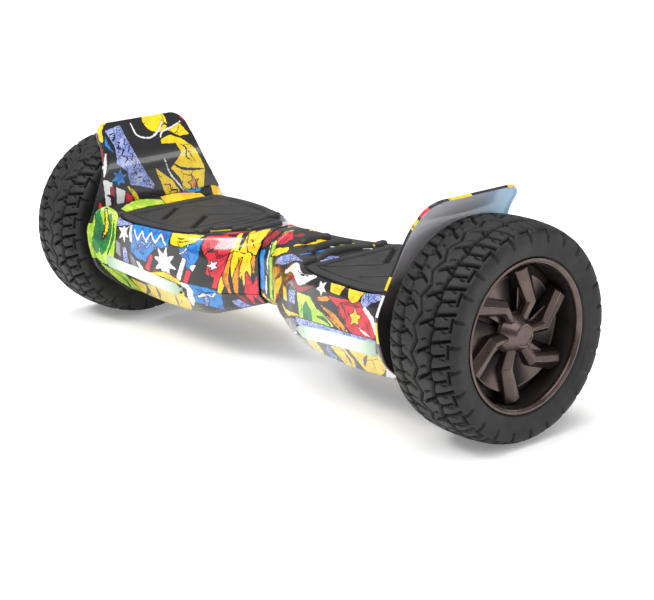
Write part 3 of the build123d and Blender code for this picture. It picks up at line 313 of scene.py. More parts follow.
# artwork of the long faces: u along the body, v down from the shoulder
SIDE_ART = (
    ("lime", P, ((-250, -16), (-236, -17), (-221, -8), (-219, 38), (-250, 60))),
    ("green", B, ((-247, -8), (-240, 18), (-244, 46)), (1, 4, 1.5)),
    ("green", B, ((-237, -10), (-232, 12), (-238, 40)), (0.5, 3, 1)),
    ("green", B, ((-228, -4), (-225, 14), (-231, 37)), (0.4, 2.2, 0.5)),
    ("yellow", B, ((-243, -12), (-236, 4), (-238, 22)), (0.3, 1.4, 0.3)),
    ("lavender", P, ((-222, -13), (-203, -14), (-184, -9), (-203, -3), (-220, 1))),
    ("white", S, (-203, 5), 13, 5.5, 6, 0.3),
    ("red", C, (-203, 5), 2.6),
    ("white", P, ((-192, -7), (-187, -8), (-184, 14), (-189, 12))),
    ("ink", B, ((-182, 14), (-166, 22), (-156, 19)), (0.2, 0.8, 0.2)),
    ("ink", B, ((-112, -8), (-104, -6), (-96, -9)), (0.3, 1.1, 0.3)),
    ("ink", B, ((-108, -2), (-101, -3), (-92, -6)), (0.2, 0.8, 0.2)),
    ("ink", B, ((-96, 2), (-90, 8), (-88, 18)), (0.2, 0.8, 0.2)),
    ("ink", B, ((-70, 2), (-64, -6), (-54, -8)), (0.3, 1.3, 0.3)),
    ("ink", B, ((-66, 14), (-62, 24), (-57, 32)), (0.3, 1.1, 0.3)),
    ("ink", B, ((-84, 42), (-72, 44), (-60, 42)), (0.2, 0.8, 0.2)),
    ("pearl", B, ((-82, 56), (-74, 50), (-64, 46)), (0.3, 1.1, 0.3)),
    ("grey", P, ((-218, 16), (-209, 19), (-206, 34), (-216, 30))),
    ("lavender", P, ((-204, 21), (-196, 22), (-190, 38), (-200, 37))),
    ("grey", P, ((-190, 26), (-181, 30), (-173, 40), (-184, 39))),
    ("pearl", P, ((-177, 32), (-170, 33), (-160, 41), (-168, 41))),
    ("blue", P, ((-187, -9), (-118, -13), (-120, 7), (-140, 11), (-152, 21), (-158, 30), (-172, 29), (-186, 23))),
    ("pearl", Z, (-180, 3), (-124, -1), 5.5, 7, 1.2),
    ("lavender", Z, (-178, 14), (-140, 8), 3.5, 5, 0.8),
    ("yellow", P, ((-118, -11), (-100, -14), (-80, -19), (-84, -8), (-100, 3), (-116, 2))),
    ("white", S, (-126, 25), 20, 9, 8, 0.2),
    ("blue", S, (-126, 25), 8, 8, 4, 0.0),
    ("red", P, ((-160, 38), (-150, 20), (-145, 20), (-152, 40))),
    ("maroon", P, ((-148, 40), (-141, 34), (-137, 40))),
    ("white", P, ((-108, 41), (-98, 14), (-93, 15), (-101, 41))),
    ("red", P, ((-97, 41), (-91, 24), (-86, 26), (-90, 41))),
    ("maroon", P, ((-114, 41), (-110, 34), (-105, 41))),
    ("blue", P, ((-104, 4), (-90, -4), (-78, -14), (-77, 8), (-88, 28), (-96, 18))),
    ("pearl", B, ((-103, 11), (-94, 5), (-91, -6)), (0.3, 0.9, 0.4)),
    ("pearl", P, ((-88, 20), (-80, 17), (-84, 26))),
    ("red", P, ((-76, -20), (-60, -25), (-46, -20), (-44, -4), (-47, 16), (-52, 28), (-55, 38), (-60, 36),
                (-57, 25), (-68, 22), (-65, 8), (-76, -5))),
    ("maroon", Z, (-72, -8), (-48, 4), 2.5, 4, 1.2),
    ("white", S, (-60, 12), 6.5, 2.8, 5, 0.5),
    ("ink", B, ((-74, -12), (-62, -14), (-50, -10)), (0.3, 0.9, 0.3)),
    ("blue", P, ((-88, 41), (-66, 37), (-50, 42), (-62, 72), (-93, 66))),
    ("pearl", Z, (-84, 50), (-58, 46), 2.6, 4, 0.8),
    ("lavender", B, ((-70, 48), (-74, 58), (-80, 70)), (0.5, 1.8, 0.6)),
    ("yellow", B, ((-44, -24), (-38, 8), (-35, 46)), (2, 4.6, 0.7)),
    ("yellow", B, ((-33, -24), (-28, 5), (-30, 34)), (2, 5, 0.7)),
    ("yellow", B, ((-20, -24), (-22, 12), (-24, 40), (-20, 57)), (3, 5.5, 4, 0.5)),
    ("yellow", B, ((-52, 42), (-47, 26), (-44, 6)), (2.4, 4, 0.6)),
    ("orange", B, ((-41, 0), (-45, 24), (-41, 47)), (0.8, 3.2, 0.8)),
    ("orange", B, ((-30, 12), (-35, 34), (-34, 54)), (0.8, 3, 0.8)),
    ("orange", B, ((-16, 4), (-17, 20), (-17, 34)), (0.6, 2, 0.6)),
    ("gold", P, ((-34, -20), (-24, -24), (-15, -20), (-12, 4), (-15, 15), (-24, 7))),
    ("ink", B, ((-32, -12), (-24, -6), (-18, 6)), (0.3, 1.1, 0.3)),
    ("red", B, ((-24, 30), (-22, 50), (-25, 72)), (0.6, 4.6, 1)),
    ("red", B, ((-14, 36), (-16, 56), (-15, 74)), (0.5, 3, 0.5)),
    ("maroon", B, ((-35, 50), (-31, 62), (-33, 77)), (0.5, 3, 1)),
    ("lavender", P, ((-45, 57), (-36, 58), (-30, 74), (-41, 77))),
    ("lime", P, ((-242, 56), (-206, 54), (-216, 102), (-248, 102))),
    ("green", B, ((-232, 58), (-226, 76), (-236, 96)), (0.4, 2.2, 0.6)),
    ("yellow", P, ((-202, 62), (-178, 66), (-160, 60), (-96, 52), (-99, 70), (-124, 102), (-216, 102))),
    ("ink", B, ((-170, 60), (-184, 80), (-206, 97)), (0.6, 2.8, 0.8)),
    ("ink", B, ((-148, 58), (-160, 76), (-178, 97)), (0.5, 2.2, 0.6)),
    ("ink", B, ((-118, 64), (-130, 80), (-142, 97)), (0.4, 1.4, 0.4)),
    ("pearl", B, ((-99, 43), (-88, 47), (-91, 62), (-102, 78)), (2, 3.6, 3.6, 1.4)),
    ("gold", B, ((-152, 42), (-124, 39), (-92, 45)), (0.6, 3.2, 1)),
    ("maroon", P, ((-13, -18), (1, -20), (0, 2), (-8, 6), (-13, 2))),
    ("blue", P, ((-11, 10), (-3, 8), (-2, 53), (-11, 53))),
    ("lime", B, ((7, -30), (9, 20), (7, 72)), (2, 2.6, 2)),
    ("pearl", B, ((2, -20), (3, 24), (-2, 62)), (1, 1.7, 1.6)),
    ("yellow", B, ((-6, 58), (2, 70), (10, 82)), (2, 3, 2)),
    ("red", P, ((12, -32), (30, -34), (25, -15), (14, -2), (5, -8))),
    ("yellow", B, ((9, 13), (22, 0), (37, -17)), (1.2, 3.6, 2.2)),
    ("lavender", B, ((24, 10), (42, -8), (62, -22), (82, -26)), (1.2, 4.6, 5, 1.6)),
    ("white", B, ((60, -5), (80, -13), (104, -2), (130, -10)), (2, 6, 6.5, 2)),
    ("maroon", B, ((60, 4), (82, -3), (104, 8), (132, 0)), (0.6, 2.6, 2.8, 0.8)),
    ("grey", B, ((70, 8), (86, 4), (100, 14)), (0.4, 2, 0.6)),
    ("white", S, (146, -1), 9.5, 4, 5, 0.3),
    ("gold", P, ((158, -9), (179, -10), (174, 1), (161, 0))),
    ("gold", P, ((184, -9), (205, -9), (199, 3), (192, 5), (186, 1))),
    ("lavender", P, ((204, -9), (230, -10), (228, -5), (215, 2), (209, 8), (203, 3))),
    ("orange", B, ((141, 11), (152, 9), (162, 6)), (1.6, 2.6, 1.2)),
    ("orange", B, ((145, 17), (166, 24), (186, 35)), (0.8, 3.2, 2)),
    ("orange", B, ((150, 25), (164, 29), (176, 35)), (0.5, 1.6, 0.6)),
    ("ink", B, ((92, -10), (104, -7), (118, -8)), (0.3, 1.0, 0.3)),
    ("ink", B, ((120, -6), (128, -2), (132, 3)), (0.2, 0.8, 0.2)),
    ("ink", B, ((66, 0), (74, -2), (84, -3)), (0.2, 0.8, 0.2)),
    ("ink", B, ((40, -2), (54, -14), (70, -20)), (0.2, 0.8, 0.2)),
    ("ink", B, ((14, -24), (20, -16), (18, -8)), (0.3, 1.0, 0.3)),
    ("ink", B, ((168, 6), (180, 12), (188, 24)), (0.3, 1.2, 0.3)),
    ("ink", B, ((214, 20), (218, 28), (224, 33)), (0.3, 1.0, 0.3)),
    ("ink", B, ((106, 18), (110, 26), (108, 35)), (0.2, 0.8, 0.2)),
    ("maroon", B, ((176, 8), (190, 7), (204, 7)), (0.3, 1.4, 0.3)),
    ("lime", P, ((100, 12), (126, 12), (137, 22), (151, 25), (166, 34), (150, 38), (106, 38))),
    ("green", P, ((118, 18), (128, 26), (130, 38), (114, 38), (112, 26))),
    ("green", B, ((138, 30), (150, 30), (161, 34)), (0.8, 2, 0.6)),
    ("red", P, ((156, 5), (206, 2), (214, 12), (231, 28), (226, 35), (196, 36), (184, 28), (172, 12))),
    ("gold", S, (197, 19), 9.5, 4.2, 5, 0.9),
    ("maroon", Z, (172, 12), (186, 32), 2.4, 3, 0.9),
    ("pearl", B, ((209, 8), (220, 16), (230, 28)), (2.2, 2.8, 2.2)),
    ("pearl", B, ((204, 28), (212, 31), (222, 33)), (0.5, 1.2, 0.5)),
    ("gold", P, ((231, -9), (247, -12), (247, 25), (240, 22), (232, 10))),
    ("ink", B, ((232, 2), (240, 8), (247, 10)), (0.4, 1.2, 0.5)),
    ("yellow", B, ((16, 60), (34, 32), (52, 8)), (3, 8.5, 3.5)),
    ("orange", B, ((13, 44), (24, 22), (40, 6)), (1.5, 5.5, 2)),
    ("maroon", B, ((28, 50), (40, 34), (54, 24)), (0.5, 2.4, 0.5)),
    ("yellow", P, ((61, 9), (72, 10), (77, 24), (66, 23))),
    ("lavender", P, ((80, 12), (96, 12), (96, 26), (84, 24))),
    ("gold", B, ((62, 28), (82, 36), (104, 36)), (0.6, 2.4, 0.8)),
    ("grey", P, ((10, 82), (60, 43), (100, 41), (105, 80), (60, 102), (30, 100))),
    ("pearl", B, ((58, 76), (80, 63), (99, 55)), (0.6, 2.4, 1)),
    ("lavender", P, ((98, 38), (230, 35), (232, 40), (100, 45))),
    ("yellow", P, ((112, 58), (131, 56), (122, 80), (108, 99), (97, 97), (103, 76))),
    ("blue", B, ((150, 58), (138, 76), (127, 98)), (1.6, 4, 3)),
    ("lavender", B, ((147, 62), (135, 76), (140, 84), (129, 96)), (0.5, 1.6, 1.6, 0.6)),
    ("yellow", P, ((152, 60), (177, 56), (173, 80), (160, 99), (145, 99))),
    ("yellow", P, ((184, 56), (235, 48), (237, 62), (214, 85), (196, 100), (176, 100), (181, 74))),
    ("ink", B, ((212, 55), (197, 70), (184, 86)), (0.5, 2.2, 0.5)),
    ("ink", B, ((172, 60), (166, 78), (158, 94)), (0.4, 1.8, 0.4)),
    ("pearl", P, ((237, 60), (247, 64), (247, 84), (224, 92), (214, 100), (204, 100))),
)
# artwork of the deck between the pads: u along the body, v across it
DECK_ART = (
    ("yellow", B, ((-96, -52), (-72, -26), (-42, 2), (-14, 16)), (0.8, 4.5, 6, 3)),
    ("pearl", B, ((-97, -34), (-72, -8), (-44, 18)), (0.6, 2.2, 0.6)),
    ("red", B, ((-64, -48), (-50, -37), (-34, -28)), (2.4, 5, 1.6)),
    ("yellow", B, ((-66, 10), (-38, 26), (-16, 26)), (1, 5, 3)),
    ("gold", B, ((-94, 30), (-80, 44), (-58, 50)), (1, 4.4, 1)),
    ("lavender", B, ((-96, 6), (-84, 18), (-76, 34)), (1, 3.2, 1)),
    ("ink", B, ((-60, -14), (-44, 4), (-24, 8)), (0.4, 1.6, 0.4)),
    ("maroon", B, ((14, -26), (24, -8), (18, 14)), (1, 3.4, 1)),
    ("lavender", P, ((84, -34), (97, -38), (98, -12), (87, -16))),
    ("yellow", B, ((40, -36), (47, -4), (42, 30)), (1.2, 2.4, 1.2)),
    ("blue", B, ((66, -40), (70, 0), (66, 40)), (1.4, 2.6, 1.4)),
    ("lime", P, ((84, 12), (97, 16), (96, 40), (86, 34))),
    ("pearl", B, ((24, 24), (46, 40), (74, 52)), (0.8, 3, 1)),
    ("red", B, ((56, 44), (74, 58), (92, 64)), (1, 3.4, 1.2)),
    ("gold", B, ((230, -72), (238, -20), (234, 60)), (3, 7, 4)),
    ("blue", B, ((244, -60), (240, 10), (244, 70)), (2, 4, 2)),
    ("lime", B, ((-230, -76), (-240, -30), (-234, 10)), (3, 6, 3)),
    ("yellow", B, ((-236, 10), (-240, 40), (-232, 72)), (3, 7, 4)),
)
# artwork of the upright plates: u across, v along the plate from its root
PLATE_ART = (
    ("lavender", P, ((-50, 134), (-28, 138), (-26, 112), (-22, 96), (-12, 74), (-3, 60), (-6, 56), (-22, 62),
                     (-36, 66), (-38, 82), (-50, 92), (-46, 112))),
    ("ink", Z, (-44, 130), (-36, 92), 3.5, 8, 0.8),
    ("ink", Z, (-32, 124), (-26, 84), 2.5, 8, 0.6),
    ("ink", Z, (-32, 80), (-8, 62), 2.2, 6, 0.7),
    ("ink", B, ((26, 128), (32, 130), (36, 124)), (0.4, 1.4, 0.4)),
    ("ink", B, ((40, 104), (48, 96), (46, 86), (54, 80)), (0.3, 1.1, 1.1, 0.3)),
    ("ink", B, ((56, 88), (50, 92), (58, 78)), (0.2, 0.9, 0.2)),
    ("blue", B, ((-53, 126), (-55, 116), (-51, 106)), (0.5, 2.4, 0.5)),
    ("yellow", C, (20, 137), 16),
    ("yellow", P, ((30, 123), (52, 128), (58, 112), (44, 112))),
    ("pearl", B, ((-13, 138), (-11, 122), (2, 116), (18, 122), (32, 137)), (0.7, 1.1, 1.1, 1.1, 0.7)),
    ("yellow", P, ((18, 112), (32, 115), (46, 108), (60, 94), (70, 70), (66, 46), (52, 40), (40, 38), (34, 62),
                   (22, 76), (32, 84), (40, 92), (36, 104), (16, 106))),
    ("pearl", B, ((18, 114), (24, 121), (40, 125), (54, 130)), (0.6, 1.1, 1.1, 0.7)),
    ("ink", B, ((17, 98), (26, 96), (36, 97)), (1, 3, 1.6)),
    ("pearl", B, ((15, 88), (20, 70), (32, 54), (42, 40)), (0.5, 1, 1.2, 0.5)),
    ("ink", B, ((20, 86), (36, 74), (54, 70), (69, 68)), (0.5, 1.5, 1.6, 0.6)),
    ("orange", S, (52, 54), 8, 3.6, 5, 0.4),
    ("ink", B, ((52, 60), (56, 52), (50, 44)), (0.4, 1.2, 0.4)),
    ("yellow", P, ((0, 80), (22, 62), (34, 44), (30, 36), (14, 36), (8, 56))),
    ("ink", Z, (12, 60), (30, 44), 2.4, 4, 0.8),
    ("white", P, ((-72, 78), (-60, 72), (-66, 36), (-72, 36))),
    ("white", P, ((-56, 66), (-44, 60), (-50, 36), (-58, 36))),
    ("blue", S, (-50, 76), 11, 5, 6, 0.2),
    ("maroon", P, ((-64, 68), (-59, 66), (-60, 36), (-65, 36))),
    ("red", P, ((-43, 58), (-35, 52), (-40, 36), (-48, 36))),
    ("yellow", B, ((-40, 64), (-32, 54), (-26, 38)), (0.8, 2.8, 2)),
    ("ink", B, ((-70, 60), (-62, 54), (-66, 42)), (0.6, 2.4, 0.8)),
    ("pearl", Z, (-22, 44), (-2, 40), 3, 4, 0.8),
    ("gold", P, ((-13, 36), (-10, 46), (-3, 38), (-3, 34))),
    ("red", B, ((-80, 52), (-79, 44), (-74, 36)), (0.8, 3.4, 1)),
    ("pearl", B, ((-70, 80), (-66, 92), (-61, 106)), (0.8, 2.2, 0.8)),
    ("yellow", B, ((100, 2), (98, 16)), (5, 5)),
    ("pearl", B, ((96, 30), (92, 42)), (4.5, 5)),
    ("yellow", B, ((88, 54), (85, 62)), (4, 4.5)),
    ("red", B, ((82, 70), (80, 76)), (4, 4)),
    ("red", B, ((76, 86), (73, 96)), (5, 4.4)),
    ("yellow", B, ((71, 104), (67, 120)), (5, 5)),
    ("red", B, ((65, 130), (61, 136)), (4, 4)),
    ("gold", B, ((42, 148), (22, 149)), (2.2, 3)),
    ("red", B, ((10, 149), (-4, 149)), (2.6, 2)),
    ("white", B, ((-12, 149), (-32, 148)), (2.4, 2.8)),
    ("gold", B, ((-40, 148), (-54, 140), (-60, 122)), (2, 3.4, 2)),
    ("maroon", B, ((-64, 112), (-68, 98)), (2, 2)),
    ("lime", P, ((-100, 30), (-70, 34), (-58, 20), (-60, -10), (-100, -10))),
    ("green", B, ((-92, 28), (-80, 16), (-78, -4)), (1, 3.5, 1)),
    ("white", P, ((-58, 22), (-36, 16), (-36, -4), (-58, -2))),
    ("blue", P, ((-34, 14), (4, 6), (2, -14), (-34, -14))),
    ("red", P, ((12, 30), (40, 28), (44, 2), (20, -4))),
    ("orange", B, ((52, 30), (62, 12), (58, -10)), (1, 4, 1)),
    ("yellow", B, ((74, 30), (82, 10), (76, -14)), (1, 5, 1.5)),
)


def painted(art, u, v, limit=None):
    """Field of every paint at the points (u, v); limit is an outer signed distance."""
    fields = {paint: np.full(u.shape, -50.0) for paint in PAINTS}
    for paint, shape, *numbers in art:
        d = shape(u, v, *numbers)
        if limit is not None:
            d = np.minimum(d, limit)
        fields[paint] = np.maximum(fields[paint], d)
    return fields


# ---- the two halves' outer surfaces ----
def corner_points(x):
    """Half depth and height of the section's corners at x, top middle and belly middle added."""
    x = np.clip(x, BODY_START, BODY_END)
    c = np.empty((len(x), 7, 2))
    for k in range(5):
        for m in range(2):
            c[:, k + 1, m] = through(STATIONS, CORNERS[:, k, m], x)
    c[:, 0, 0] = c[:, 6, 0] = 0.0
    c[:, 0, 1] = c[:, 1, 1]
    c[:, 6, 1] = c[:, 5, 1]
    return c


def section_points(x, segment, t):
    """Point t of the way along a segment of the rounded section at every x, and its v.

    Inside a corner's rounding distance d the polyline gives way to the parabola
    C - (1-q)^2 d u + q^2 d w, with q = (s + d) / 2d and s the distance past the corner C."""
    c = corner_points(x)
    step = np.diff(c, axis=1)
    length = np.linalg.norm(step, axis=2)
    unit = step / length[..., None]
    t = np.broadcast_to(t, x.shape)
    k = segment
    point = c[:, k] + step[:, k] * t[:, None]
    for corner, s in ((k, t * length[:, k]), (k + 1, (t - 1) * length[:, k])):
        if 1 <= corner <= 5:
            d = CORNER_ROUNDING[corner - 1] * ease(8.0, 30.0, x)
            d = np.minimum(np.maximum(d, 1.5), 0.45 * np.minimum(length[:, corner - 1], length[:, corner]))
            q = np.clip((s + d) / (2 * d), 0, 1)
            u, w = unit[:, corner - 1], unit[:, corner]
            bent = c[:, corner] - ((1 - q) ** 2 * d)[:, None] * u + (q**2 * d)[:, None] * w
            point = np.where((np.abs(s) < d)[:, None], bent, point)
    before = np.concatenate([np.zeros((len(x), 1)), np.cumsum(length, 1)], 1)
    v = before[:, k] + t * length[:, k] - before[:, 2]
    return point, v


def pad_edge(x):
    """Half width of the foot pad's outline at x: an arc bulging to the middle."""
    t = (x - PAD_START) / (PAD_END - PAD_START)
    return 61.0 + 6.0 * t + 36.0 * t * (1 - t)


def pad_depth(x, y):
    """Distance inside the foot pad's outline, corners rounded."""
    middle = (PAD_START + PAD_END) / 2
    a = np.abs(x - middle) - (PAD_END - PAD_START) / 2 + PAD_CORNER
    b = np.abs(y) - pad_edge(np.clip(x, PAD_START, PAD_END)) + PAD_CORNER
    outside = np.hypot(np.maximum(a, 0), np.maximum(b, 0)) + np.minimum(np.maximum(a, b), 0)
    return PAD_CORNER - outside


X_STEPS = np.unique(
    np.concatenate(
        [
            np.linspace(BODY_START, 62.0, 34),
            np.linspace(62.0, LAMP_START, 26),
            np.linspace(LAMP_START, LAMP_END, 87),
            np.linspace(LAMP_END, BODY_END, 14),
        ]
    )
)


def half_rows(top):
    """Rows of a half section: (segment, place on it), from the deck's middle downwards."""
    rows = []
    if top:
        for segment, count in ((0, 52), (1, 10), (2, 28)):
            rows += [(segment, t) for t in np.linspace(0, 1, count, endpoint=False)]
        rows += [(3, 0.0)] + [(3, t) for t in np.linspace(0.12, 0.88, 7)] + [(3, 0.985)]
    else:
        rows += [(3, 1.0)]
        for segment, count in ((4, 26), (5, 26)):
            rows += [(segment, t) for t in np.linspace(0, 1, count, endpoint=False)]
        rows[1] = (4, 0.02)
        rows = rows[1:] + [(5, 1.0)]
    return rows


def shell(top, sign):
    """Grid over (row, x) of one shell's outer surface, both long faces, with its paint."""
    rows = half_rows(top)
    line, place = [], []
    for segment, t in rows:
        point, v = section_points(X_STEPS, segment, t)
        line.append(point)
        place.append(v)
    line, place = np.array(line), np.array(place)
    order = np.arange(len(rows))
    picked = np.concatenate([order[::-1], order[1:]] if top else [order, order[-2::-1]])
    face = np.where(np.arange(len(picked)) < len(rows), -1.0, 1.0)
    y = line[picked, :, 0] * face[:, None]
    z = line[picked, :, 1] + AXLE_Z
    v = place[picked]
    x = np.broadcast_to(X_STEPS, y.shape)
    if top:
        depth = pad_depth(x, y)
        sunk = RECESS * ease(-3.0, -1.1, depth)
        z = z - np.where(z > AXLE_Z + 28, sunk, 0.0)
    points = np.stack([x * sign, y, z], -1).reshape(-1, 3)
    faces = grid_faces(len(picked), len(X_STEPS))
    centre = points[faces].mean(1)
    keep = np.ones(len(faces), bool)
    if top:
        row = faces[:, 0] // len(X_STEPS)
        band = np.minimum(row, len(picked) - 2 - row)
        in_lamp = (np.abs(centre[:, 0]) > LAMP_START) & (np.abs(centre[:, 0]) < LAMP_END)
        keep &= ~((band >= 1) & (band <= 6) & in_lamp & (centre[:, 1] < 0))
        if sign > 0:
            for (bx, bz), r in ((BUTTON, 8.8), (PORT, 11.4)):
                near = np.hypot(centre[:, 0] - bx, centre[:, 2] - bz) < r
                keep &= ~(near & (centre[:, 1] > 60))
    faces = faces[keep]
    faces = face_along(points, faces, from_axle(points, faces))
    px, py = points[:, 0], points[:, 1]
    v = v.reshape(-1)
    turn = -np.sign(np.where(py == 0, -1.0, py))
    side_u = px * turn
    side = painted(SIDE_ART, side_u, v, v + 26.0)
    deck = painted(DECK_ART, px * turn, py * turn, -26.6 - v)
    fields = {k: np.maximum(side[k], deck[k]) for k in PAINTS}
    fields["at"] = np.stack([side_u, v, np.zeros_like(v)], -1)
    return used_only(points, faces, fields)


# ---- materials ----
def group(name, inputs, outputs):
    """Empty shader node group with named sockets; returns it with its ends."""
    tree = bpy.data.node_groups.new(name, "ShaderNodeTree")
    kinds = {"f": "NodeSocketFloat", "c": "NodeSocketColor", "v": "NodeSocketVector"}
    for key, kind, default in inputs:
        socket = tree.interface.new_socket(name=key, in_out="INPUT", socket_type=kinds[kind])
        if default is not None:
            socket.default_value = default
    for key, kind in outputs:
        tree.interface.new_socket(name=key, in_out="OUTPUT", socket_type=kinds[kind])
    return tree, tree.nodes.new("NodeGroupInput"), tree.nodes.new("NodeGroupOutput")


def feed(tree, socket, value):
    """Sets a socket to a number or colour, or links it to another node's output."""
    if isinstance(value, (int, float, tuple)):
        socket.default_value = value
    else:
        tree.links.new(value, socket)


def math_node(tree, operation, *values):
    node = tree.nodes.new("ShaderNodeMath")
    node.operation = operation
    for socket, value in zip(node.inputs, values):
        feed(tree, socket, value)
    return node.outputs[0]


def mix_node(tree, factor, a, b):
    """Colour mix: a at factor 0, b at factor 1."""
    node = tree.nodes.new("ShaderNodeMix")
    node.data_type = "RGBA"
    for place, value in ((0, factor), (6, a), (7, b)):
        feed(tree, node.inputs[place], value)
    return node.outputs[2]


def noise_node(tree, vector, scale, detail=3.0, roughness=0.5):
    node = tree.nodes.new("ShaderNodeTexNoise")
    feed(tree, node.inputs["Scale"], scale)
    feed(tree, node.inputs["Detail"], detail)
    feed(tree, node.inputs["Roughness"], roughness)
    feed(tree, node.inputs["Vector"], vector)
    return node.outputs["Fac"]


def range_node(tree, value, lo, hi, to_lo=0.0, to_hi=1.0):
    """Smooth step from to_lo at lo up to to_hi at hi."""
    node = tree.nodes.new("ShaderNodeMapRange")
    node.interpolation_type = "SMOOTHSTEP"
    ends = (("From Min", lo), ("From Max", hi), ("To Min", to_lo), ("To Max", to_hi))
    for key, number in ends + (("Value", value),):
        feed(tree, node.inputs[key], number)
    return node.outputs["Result"]


def field_node(tree, name):
    node = tree.nodes.new("ShaderNodeAttribute")
    node.attribute_name = name
    return node.outputs


def object_axes(tree, where):
    node = tree.nodes.new("ShaderNodeSeparateXYZ")
    tree.links.new(where, node.inputs[0])
    return node.outputs


def paint_layer_group():
    """Layer of paint: an outline where distance + outline > 0, then the paint where distance > 0."""
    tree, start, end = group(
        "PaintLayer",
        (
            ("Below", "c", None),
            ("Distance", "f", 0.0),
            ("Wobble", "f", 0.0),
            ("Outline", "f", 0.9),
            ("Paint", "c", None),
            ("Shade", "c", None),
            ("Shading", "f", 0.0),
            ("Ink", "c", (0.006, 0.006, 0.007, 1.0)),
        ),
        (("Colour", "c"),),
    )
    o = start.outputs
    d = math_node(tree, "ADD", o["Distance"], o["Wobble"])
    edge = range_node(tree, math_node(tree, "ADD", d, o["Outline"]), -0.22, 0.22)
    fill = range_node(tree, d, -0.22, 0.22)
    body = mix_node(tree, o["Shading"], o["Paint"], o["Shade"])
    inked = mix_node(tree, edge, o["Below"], o["Ink"])
    tree.links.new(mix_node(tree, fill, inked, body), end.inputs["Colour"])
    return tree


def crack_group():
    """Thin drawn cracks: the edges between Voronoi cells, broken up by noise."""
    tree, start, end = group(
        "DrawnCracks",
        (("Vector", "v", None), ("Scale", "f", 0.1), ("Width", "f", 0.05), ("Spread", "f", 0.5)),
        (("Mask", "f"),),
    )
    o = start.outputs
    warp = tree.nodes.new("ShaderNodeTexNoise")
    warp.inputs["Scale"].default_value = 0.25
    warp.inputs["Detail"].default_value = 2.0
    tree.links.new(o["Vector"], warp.inputs["Vector"])
    push = tree.nodes.new("ShaderNodeVectorMath")
    push.operation = "MULTIPLY_ADD"
    tree.links.new(warp.outputs["Color"], push.inputs[0])
    push.inputs[1].default_value = (4.0, 4.0, 0.0)
    tree.links.new(o["Vector"], push.inputs[2])
    cells = tree.nodes.new("ShaderNodeTexVoronoi")
    cells.feature = "DISTANCE_TO_EDGE"
    cells.voronoi_dimensions = "2D"
    tree.links.new(push.outputs[0], cells.inputs["Vector"])
    tree.links.new(o["Scale"], cells.inputs["Scale"])
    near = math_node(tree, "LESS_THAN", cells.outputs["Distance"], o["Width"])
    some = noise_node(tree, o["Vector"], 0.07, 1.0)
    shown = math_node(tree, "GREATER_THAN", some, o["Spread"])
    tree.links.new(math_node(tree, "MULTIPLY", near, shown), end.inputs["Mask"])
    return tree


def grain_group():
    """Fine surface grain: a bump normal and a roughness that wanders a little."""
    tree, start, end = group(
        "FineGrain",
        (("Vector", "v", None), ("Scale", "f", 900.0), ("Bump", "f", 0.1), ("Height", "f", 0.0002),
         ("Rough low", "f", 0.4), ("Rough high", "f", 0.5)),
        (("Normal", "v"), ("Roughness", "f"), ("Value", "f")),
    )
    o = start.outputs
    fine = noise_node(tree, o["Vector"], o["Scale"], 4.0)
    bump = tree.nodes.new("ShaderNodeBump")
    tree.links.new(fine, bump.inputs["Height"])
    tree.links.new(o["Bump"], bump.inputs["Strength"])
    tree.links.new(o["Height"], bump.inputs["Distance"])
    broad = noise_node(tree, o["Vector"], 35.0, 3.0)
    tree.links.new(bump.outputs["Normal"], end.inputs["Normal"])
    roughness = range_node(tree, broad, 0.3, 0.7, o["Rough low"], o["Rough high"])
    tree.links.new(roughness, end.inputs["Roughness"])
    tree.links.new(fine, end.inputs["Value"])
    return tree


PAINT_LAYER = paint_layer_group()
CRACKS = crack_group()
GRAIN = grain_group()


def use_group(tree, which, **values):
    node = tree.nodes.new("ShaderNodeGroup")
    node.node_tree = which
    for key, value in values.items():
        feed(tree, node.inputs[key.replace("_", " ")], value)
    return node


def new_material(name):
    """Empty material; returns it, its tree, its shader and the Object coordinates."""
    material = bpy.data.materials.new(name)
    material.use_nodes = True
    tree = material.node_tree
    where = tree.nodes.new("ShaderNodeTexCoord").outputs["Object"]
    return material, tree, tree.nodes["Principled BSDF"], where


def add_grain(tree, shader, where, scale, bump, height, rough):
    """Links the fine grain to the shader; returns its roughness."""
    grain = use_group(tree, GRAIN, Vector=where, Scale=scale, Bump=bump, Height=height,
                      Rough_low=rough[0], Rough_high=rough[1])
    tree.links.new(grain.outputs["Normal"], shader.inputs["Normal"])
    tree.links.new(grain.outputs["Roughness"], shader.inputs["Roughness"])
    return grain.outputs["Roughness"]


def set_shader(shader, **values):
    for key, value in values.items():
        shader.inputs[key.replace("_", " ")].default_value = value


def plain_material(name, colour, second, rough, metallic=0.0, scale=900.0, bump=0.15, height=0.0002,
                   coat=0.0, coat_rough=0.1, mottle=60.0, specular=0.5, painted_shade_colour=None):
    """Material of one finish: two close colours mottled by noise, grain and uneven roughness;
    a per-point field of the piece mixes in a dark colour, shade painted into its grooves and hollows."""
    material, tree, shader, where = new_material(name)
    roughness = add_grain(tree, shader, where, scale, bump, height, rough)
    mottled = range_node(tree, noise_node(tree, where, mottle, 4.0), 0.35, 0.65)
    mixed = mix_node(tree, mottled, colour + (1.0,), second + (1.0,))
    if painted_shade_colour:
        # painted shade: the piece's field turns the colour toward the dark shade colour and raises the roughness
        painted_shade = field_node(tree, "painted_shade")["Fac"]
        mixed = mix_node(tree, painted_shade, mixed, painted_shade_colour + (1.0,))
        tree.links.new(math_node(tree, "MAXIMUM", roughness, painted_shade), shader.inputs["Roughness"])
    tree.links.new(mixed, shader.inputs["Base Color"])
    set_shader(shader, Metallic=metallic, Coat_Weight=coat, Coat_Roughness=coat_rough,
               Specular_IOR_Level=specular)
    return material


